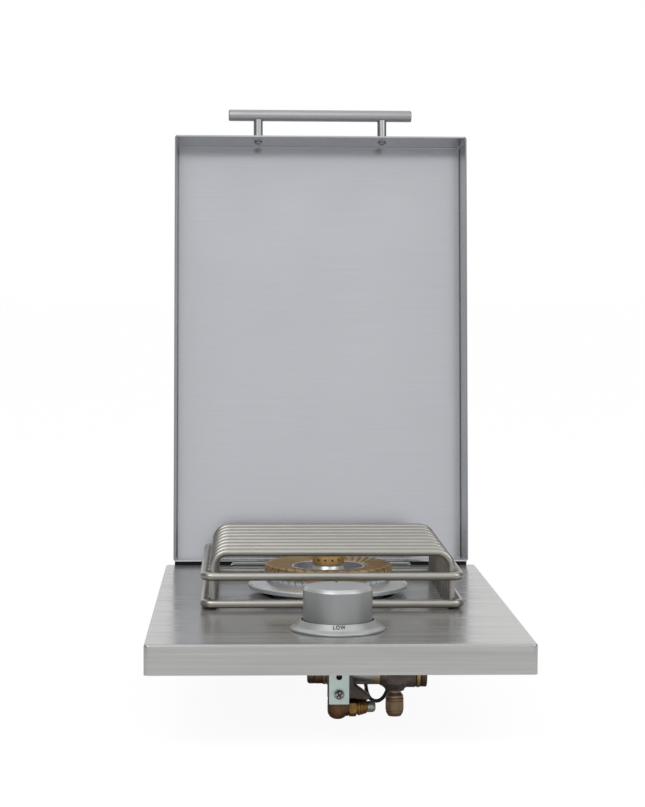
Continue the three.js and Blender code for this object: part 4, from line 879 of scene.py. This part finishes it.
def makeWord():
    # the word wrapped on the cone of the bezel's front
    data = bpy.data.curves.new("word", "FONT")
    data.body = word["text"]
    data.extrude = word["thick"]
    data.offset = word["offset"]
    data.space_character = word["spread"]
    form = meshed(data)
    lows = [min(vert.co[axis] for vert in form.verts) for axis in range(3)]
    spans = [max(vert.co[axis] for vert in form.verts) - lows[axis] for axis in range(3)]
    foot, head = Vector(word["foot"]), Vector(word["head"])
    out = Vector((head.y - foot.y, foot.x - head.x)).normalized()
    middle = (foot.x + head.x) / 2
    for vert in form.verts:
        side, up, depth = ((vert.co[axis] - lows[axis]) / spans[axis] for axis in range(3))
        reach = foot.lerp(head, up) + out * (word["lift"] + word["raised"] * depth)
        turn = (side - 0.5) * word["wide"] / middle
        vert.co = Vector((reach.x * sin(turn), -reach.x * cos(turn), reach.y))
    finished("bezelWord", placed(faced(form), knobAt), "wordInk")


def makeSpring():
    # an open coil on a mesh of its own; the real one flattens when the knob is pushed in
    low, high = (corner * 1000 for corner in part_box("valve_spring"))
    wire = spring["wire"]
    steps = round(spring["turns"] * spring["turnSteps"])
    rise = high.z - low.z - 2 * wire
    form = bmesh.new()
    bmesh.ops.create_circle(form, segments=spring["sides"], radius=wire)
    placed(form, ((high.x - low.x) / 2 - wire, 0, low.z + wire), "front")
    bmesh.ops.spin(form, geom=form.verts[:] + form.edges[:], cent=(0, 0, 0), axis=(0, 0, 1),
                   dvec=(0, 0, rise / steps), angle=tau * spring["turns"], steps=steps)
    bmesh.ops.holes_fill(form, edges=form.edges, sides=spring["sides"])
    coil = finished("valveSpring", placed(faced(form), (0, layout["knobY"], 0)), "brightPlate", body="plug")
    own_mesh(coil)


makeKnob()
makeWord()
makeSpring()
print("knob made")


# valve, bracket and its screw
valve = {
    "outline": [
        (-13, 19.4), (13, 19.4), (13, -3.5), (12.2, -13), (13.6, -20), (27.5, -29.8), (24.5, -32.5),
        (13, -30.9), (8.4, -31.2), (8.4, -32.6), (-8.4, -32.6), (-8.4, -17), (-13, -3.5),
    ],
    "front": 50.6, "rear": 66, "edge": 0.9, "boss": [(0, -3.5), (12.6, -3.5, 1), (12.6, 19.4, 0.8), (0, 19.4)],
    "plugHole": [(0, 2.7), (5.35, 2.7), (6.35, 17.3), (6.35, 21), (0, 21)],
    "screwHole": (2.15, 49, 58.6, 24), "sight": (2.7, 49, 57, 32), "feed": (3.75, 65, 92, 32),
    "bracket": [(48.6, -35.4), (48.6, 23.2), (86.6, 23.2)], "bracketHalf": 8.4, "bracketX": 0.8,
    "bracketSheet": 1.6, "bracketBend": 2.6, "screwAt": (0.8, 0, -27), "sightAt": (0.8, 0, -12.4),
    "bracketHoles": ((2.6, 45, 55, 40), (2.15, 45, 55, 24), (6.35, 15, 30, 48)),
    "washerY": 48.25, "washer": [(2.2, 0), (3.9, 0), (3.9, 0.6), (2.2, 0.6), (2.2, 0)],
    "teeth": 12, "tooth": ((3.7, -0.5, 0.05), (4.5, 0.5, 0.45)), "toothTwist": 0.22,
    "screw": (4, 2, 2, 9.2), "screwY": 47.3, "crossTurn": 32,
    "recess": (((-2.4, -0.62, 0.72), (2.4, 0.62, 0.9)), ((-0.62, -2.4, 0.7), (0.62, 2.4, 0.92))),
}
screwAt, sightAt = valve["screwAt"], valve["sightAt"]
stemAt = (0, layout["knobY"], 0)


def makeValve():
    # the outline pushed from front to rear, joined to the round boss about the stem
    body = bmesh.new()
    face = body.faces.new([body.verts.new((x, valve["front"], z)) for x, z in valve["outline"]])
    grown = bmesh.ops.extrude_face_region(body, geom=[face])["geom"]
    far = [item for item in grown if isinstance(item, bmesh.types.BMVert)]
    bmesh.ops.translate(body, verts=far, vec=(0, valve["rear"] - valve["front"], 0))
    softened(faced(body), body.edges[:], valve["edge"], 3)
    body = carved(body, spun(valve["boss"], 64, stemAt), "UNION")
    feeds = [peg(*valve["feed"], feedAt(sign), "Y") for sign in signs]
    body = carved(body, joined(spun(valve["plugHole"], 48, stemAt), peg(*valve["screwHole"], screwAt, "Y"),
                               peg(*valve["sight"], sightAt, "Y"), *feeds))
    finished("valveBody", body, "darkCasting", sharp=38)


def makeBracket():
    half, (front, roof) = valve["bracketHalf"], valve["bracket"][1]
    form = bmesh.new()
    near = [form.verts.new((-half, y, z)) for y, z in valve["bracket"]]
    extruded(form, [form.edges.new(pair) for pair in zip(near, near[1:])], (2 * half, 0, 0))
    fold = [edge for edge in form.edges
            if all(vert.co.z > roof - 0.2 and vert.co.y < front + 1 for vert in edge.verts)]
    faced(softened(form, fold, valve["bracketBend"], 6))
    if sum(face.normal.y for face in form.faces) > 0:
        bmesh.ops.reverse_faces(form, faces=form.faces)
    bmesh.ops.solidify(form, geom=form.faces[:], thickness=valve["bracketSheet"])
    faced(form)
    across = [edge for edge in form.edges if edge.calc_face_angle(0) > 1.2
              and abs(edge.verts[0].co.x - edge.verts[1].co.x) < 0.01]
    moved(softened(form, across, 0.25, 2), (valve["bracketX"], 0, 0))
    holes = [peg(*size, at, axis)
             for size, at, axis in zip(valve["bracketHoles"], (sightAt, screwAt, stemAt), "YYZ")]
    finished("valveBracket", carved(form, joined(*holes)), "zincPlate")


def makeBracketScrew():
    # lock washer with raised twisted teeth, and the cross-head screw on it
    tooth = turned(block(*valve["tooth"]), Matrix.Rotation(valve["toothTwist"], 3, "X"), (0, 0, 0.25))
    washer = joined(spun(valve["washer"], 48), around(tooth, valve["teeth"]))
    x, z = screwAt[0], screwAt[2]
    finished("bracketWasher", placed(washer, (x, valve["washerY"], z), "front"), "brightPlate")
    recess = carved(*(block(*corners) for corners in valve["recess"]), "UNION")
    twist = Matrix.Rotation(radians(valve["crossTurn"]), 3, "Z")
    screw, recess = (placed(turned(form, twist), (x, valve["screwY"], z), "front")
                     for form in (crossScrew(*valve["screw"]), recess))
    finished("bracketScrew", screw, "brightPlate")
    # painted shade: a dark cross set in the screw's recess
    finished("bracketScrewRecess", recess, "markInk")


makeValve()
makeBracket()
makeBracketScrew()
print("valve made")


# gas pipe, tee and inlet nut, about the pipe's axis
gas = {
    "at": (0, 76, -14.2), "bossAt": (49, 76, 0), "nutAt": (49, 76, -50.5),
    "tee": [(9.65, 36), (10, 36, 0.2), (12, 41.5, 1.6), (12, 66.6, 1), (7.5, 66.6), (7.5, 43.6), (9.65, 43.6),
            (9.65, 36)],
    "teeBoss": [(0, -14.2), (14, -14.2), (14, -21.6, 3), (11.6, -24.4, 2), (8.2, -27.4, 0.8),
                (8.2, -28.6, 0.3), (0, -28.6)],
    "teeHollow": [(0, 35), (9.65, 35), (9.65, 43.6), (7.5, 43.6), (7.5, 67), (0, 67)],
    "bossHole": (4.4, -30, -14, 40),
    # the nut's profile is measured up from its foot
    "nut": [(4.4, 0), (5.5, 0, 0.3), (7.3, 3.2, 1), (7.3, 4, 0.2), (7, 4.3), (7.35, 4.6, 0.2), (7.35, 13, 0.2),
            (7, 13.4), (7.7, 13.9, 0.3), (7.7, 14.9, 0.3), (7, 15.5), (7.5, 16, 0.3), (7.2, 17.6, 0.8),
            (5.2, 20.2, 0.6), (5.2, 21.6), (4.4, 21.6), (4.4, 0)],
    "knurl": [(0, 4.9), (0.34, 5.1), (0.34, 12.6), (0, 12.8)], "knurlAt": (7.35, 0, 0), "knurls": 40,
    "pipes": {
        "gasPipe": ("pipeSteel", [(7.5, -9.1), (9.5, -9.1, 0.3), (9.5, 43, 0.3), (7.5, 43), (7.5, -9.1)]),
        "pipePlug": ("agedBrass", [
            (0, -25.1), (8.7, -25.1, 2.2), (8.7, -19.6, 0.3), (8.3, -19.2), (8.7, -18.8, 0.3), (8.7, -12.2),
            (7.35, -12.2), (7.35, -1.4, 0.5), (0, -1.4)]),
        "pipePlugCollar": ("collarBrass", [
            (7.4, -12), (9.3, -12, 0.4), (9.3, -9.4, 0.4), (7.4, -9.4), (7.4, -12)]),
    },
    "ends": {
        "teeRing": ("goldBrass", [
            (7.5, 66.9), (12.1, 66.9, 0.9), (12.1, 70.3, 0.9), (7.5, 70.3), (7.5, 66.9)]),
        "teePlug": ("agedBrass", [
            (0, 58.9), (7.35, 58.9, 0.6), (7.35, 70.6), (11.6, 70.6, 0.3), (11.6, 75.8, 0.9), (6, 75.8, 0.3),
            (5.4, 75.2), (0, 75.2)]),
    },
}


def aboutPipe(pieces, steps):
    for name, (look, line) in pieces.items():
        finished(name, spun(line, steps, gas["at"], "X"), look)


def makeGas():
    at, bossAt = gas["at"], gas["bossAt"]
    aboutPipe(gas["pipes"], 64)
    body = carved(spun(gas["tee"], 80, at, "X"), spun(gas["teeBoss"], 80, bossAt), "UNION")
    body = carved(body, peg(*gas["bossHole"], bossAt))
    body = carved(body, spun(gas["teeHollow"], 64, at, "X"))
    finished("inletTee", body, "darkCasting", sharp=40)
    aboutPipe(gas["ends"], 72)
    ribs = around(spun(gas["knurl"], 8, gas["knurlAt"]), gas["knurls"])
    finished("inletNut", moved(joined(spun(gas["nut"], 120), ribs), gas["nutAt"]), "knurlBrass")


makeGas()
print("gas pipe made")


# lower outlet, on one axis
outlet = {
    "at": (0, 59.2, -39.4), "dropAt": (0, 59.2, 0), "hexagon": (8.4, 9.3, 15.6, 6),
    "drop": [(0, -49.5), (8.5, -49.5, 6.8), (8.5, -32.9, 0.4), (0, -32.9)],
    "arm": [(0, 0), (7.8, 0), (7.8, 9, 0.4), (0, 9)],
    "cone": [(0, 9), (6.9, 9), (8.4, 10), (8.4, 14.9), (7, 16), (0, 16)],
    "tail": [(0, 15.6), (6.4, 15.6), (6.4, 16.6, 0.2), (7.4, 17, 0.3), (7.2, 18.6, 0.3), (6.6, 18.9),
             (7, 19.2, 0.3), (6.4, 21.4, 0.3), (6, 21.7), (6.3, 22, 0.3), (5.3, 24.5, 0.4), (0, 24.5)],
    "tip": [(0, 24.8), (4.7, 24.8, 0.3), (4.7, 31.8, 3), (1.4, 31.8, 0.3), (1.4, 28.6), (0, 28.6)],
}


def makeOutlet():
    at = outlet["at"]
    elbow = carved(spun(outlet["drop"], 72, outlet["dropAt"]), spun(outlet["arm"], 56, at, "X"), "UNION")
    finished("outletElbow", elbow, "elbowBrass", sharp=40)
    head = carved(peg(*outlet["hexagon"]), spun(outlet["cone"], 64), "INTERSECT")
    finished("outletNut", placed(joined(head, spun(outlet["tail"], 56)), at, "X"), "nutBrass")
    finished("outletTip", spun(outlet["tip"], 48, at, "X"), "pipeSteel")


makeOutlet()
print("outlet made")


# orifices and mixer tubes that feed the burner
feeder = {
    "tube": [(9.5, 90, 0.4), (10.7, 90, 0.4), (10.2, 94, 3), (9.5, 97, 3), (9.5, 218.7), (8.3, 218.7),
             (8.3, 97, 3), (9, 94, 3), (9.5, 90, 0.4)],
    "nozzle": [(1, 66.3), (3.6, 66.3), (3.6, 74, 0.3), (3.1, 74.4), (3.1, 80, 0.3), (3.6, 80.4, 0.2),
               (3.6, 82.7, 0.6), (2.2, 86.3, 0.4), (1, 86.3), (1, 66.3)],
}
for side, sign in sides:
    finished("mixerTube_" + side, spun(feeder["tube"], 64, feedAt(sign), "Y"), "tubeAluminium")
    finished("orifice_" + side, spun(feeder["nozzle"], 40, feedAt(sign), "Y"), "nutBrass")
print("feeds made")


# ignition: housing, electrode and leads
electrode = {
    "insulator": [(0, -38), (3, -38, 0.5), (3, -35.3), (4.6, -35.3, 0.4), (4.6, -32.3, 0.4), (3, -32.3),
                  (3, 18, 0.8), (0, 18)],
    "at": (0, 295, 25), "pinAt": (0, 295, 43.3), "pin": [9, (3.4, (0, -1, 0), 90), 3], "pinRadius": 0.8,
    "housing": ((13.3, 40, -1), (31.3, 66, 17), 1.4, 4),
}
lead = {
    "radius": 1.6, "redLength": 0.0485, "blackLength": 0.2635,
    "red": [(25, 66.6, 6), (25, 70.5, 5.6), (25, 75, 3.6), (25, 80, 0.4), (25, 85, -3.6), (25, 89, -9),
            (25, 91, -15.5), (25.1, 91.6, -22.5), (25.6, 91.4, -29)],
    "black": [(25.65, 91.37, -29.3), (27, 90.8, -35), (30.4, 90.4, -39.8), (35, 90.4, -41), (39.4, 90.8, -39),
              (42.6, 91.6, -34.6), (45, 93, -29), (47, 96.4, -23.4), (48.6, 103, -19.6), (49.4, 114, -18),
              (49, 142, -18), (48, 177, -18), (46, 207, -19), (41, 235, -21), (32, 260, -23), (20, 280, -24.6),
              (9, 291, -25), (3, 294.4, -23.6), (0.6, 295, -20), (0, 295, -14.8)],
}


def makeIgnition():
    finished("piezoHousing", block(*electrode["housing"]), "blackPlastic")
    finished("electrodeInsulator", spun(electrode["insulator"], 48, electrode["at"]), "whiteCeramic")
    wire = along(electrode["pinRadius"], electrode["pinAt"], (0, 0, 1), electrode["pin"], 16)
    finished("electrodePin", wire, "brightPlate")
    for name, look in (("red", "redSleeve"), ("black", "blackPlastic")):
        piece = finished("lead_" + name, threaded(lead[name], lead["radius"]), look, "ignition_lead_" + name)


makeIgnition()
print("ignition made")


# finishes of the solids that stay as they are
kept = {"knob_marker": "markInk", "knob_bush": "brightPlate", "valve_stem": "brightPlate",
        "valve_plug": "nutBrass"}
for name, look in kept.items():
    nodes[name].data.materials.clear()
    nodes[name].data.materials.append(looks[look])


# floor, world and lamps
studio = {
    "floorZ": -0.062, "floorSize": 40, "white": 0.9, "shadow": 0.12, "glow": 1.06, "sky": 0.55, "sideDark": 0.8,
    "lamps": {"keyLamp": ((-0.9, -1.1, 1.7), (1.2, 1.2), 14), "sideLamp": ((1.3, -0.6, 1.1), (0.9, 1.4), 9)},
    "aim": (0, 0.25, 0.1),
}


def makeFloor():
    form = bmesh.new()
    bmesh.ops.create_grid(form, x_segments=1, y_segments=1, size=studio["floorSize"])
    floor = asObject("floor", asMesh("floor", moved(form, (0, 0, studio["floorZ"]))))
    material, place = startFinish("floorWhite", [studio["white"]] * 3, 0.9, 0.0)
    glow = place.add("Emission", None, {"Color": (1, 1, 1, 1), "Strength": studio["glow"]})
    dull = Wire(place.tree, shaderOf(material).outputs[0])
    seen = place.add("LightPath") * (1 - studio["shadow"])
    both = place.add("MixShader", None, {0: seen, 1: dull, 2: glow})
    place.tree.links.new(both.socket, place.tree.nodes["Material Output"].inputs["Surface"])
    floor.data.materials.append(material)


def makeWorld():
    # white to the camera and in mirrors, but for the sides, and dimmer as a light
    world = bpy.data.worlds.new("studio")
    world.use_nodes = True
    bpy.context.scene.world = world
    rays = Wire(world.node_tree).add("LightPath").socket.node.outputs
    straight, glossy, through = (Wire(world.node_tree, rays[f"Is {kind} Ray"])
                                 for kind in ("Camera", "Glossy", "Transmission"))
    seen = straight.maths("MAXIMUM", glossy.maths("MAXIMUM", through))
    sideways = axesOf(seen.add("TexCoord"))[0].maths("ABSOLUTE")
    dim = ranged(sideways, 0.25, 0.75, 0.0, studio["sideDark"])
    strength = seen * (1 - studio["sky"]) + studio["sky"] - glossy * dim
    back = world.node_tree.nodes["Background"]
    back.inputs["Color"].default_value = (1, 1, 1, 1)
    world.node_tree.links.new(strength.socket, back.inputs["Strength"])


def addLamp(name, place, size, power):
    data = bpy.data.lights.new(name, "AREA")
    data.shape = "RECTANGLE"
    data.size, data.size_y = size
    data.energy = power
    lamp = asObject(name, data)
    lamp.location = place
    lamp.rotation_euler = (Vector(studio["aim"]) - Vector(place)).to_track_quat("-Z", "Y").to_euler()


makeFloor()
makeWorld()
for name, values in studio["lamps"].items():
    addLamp(name, *values)
bpy.context.scene.view_settings.view_transform = "Standard"
print("studio set")
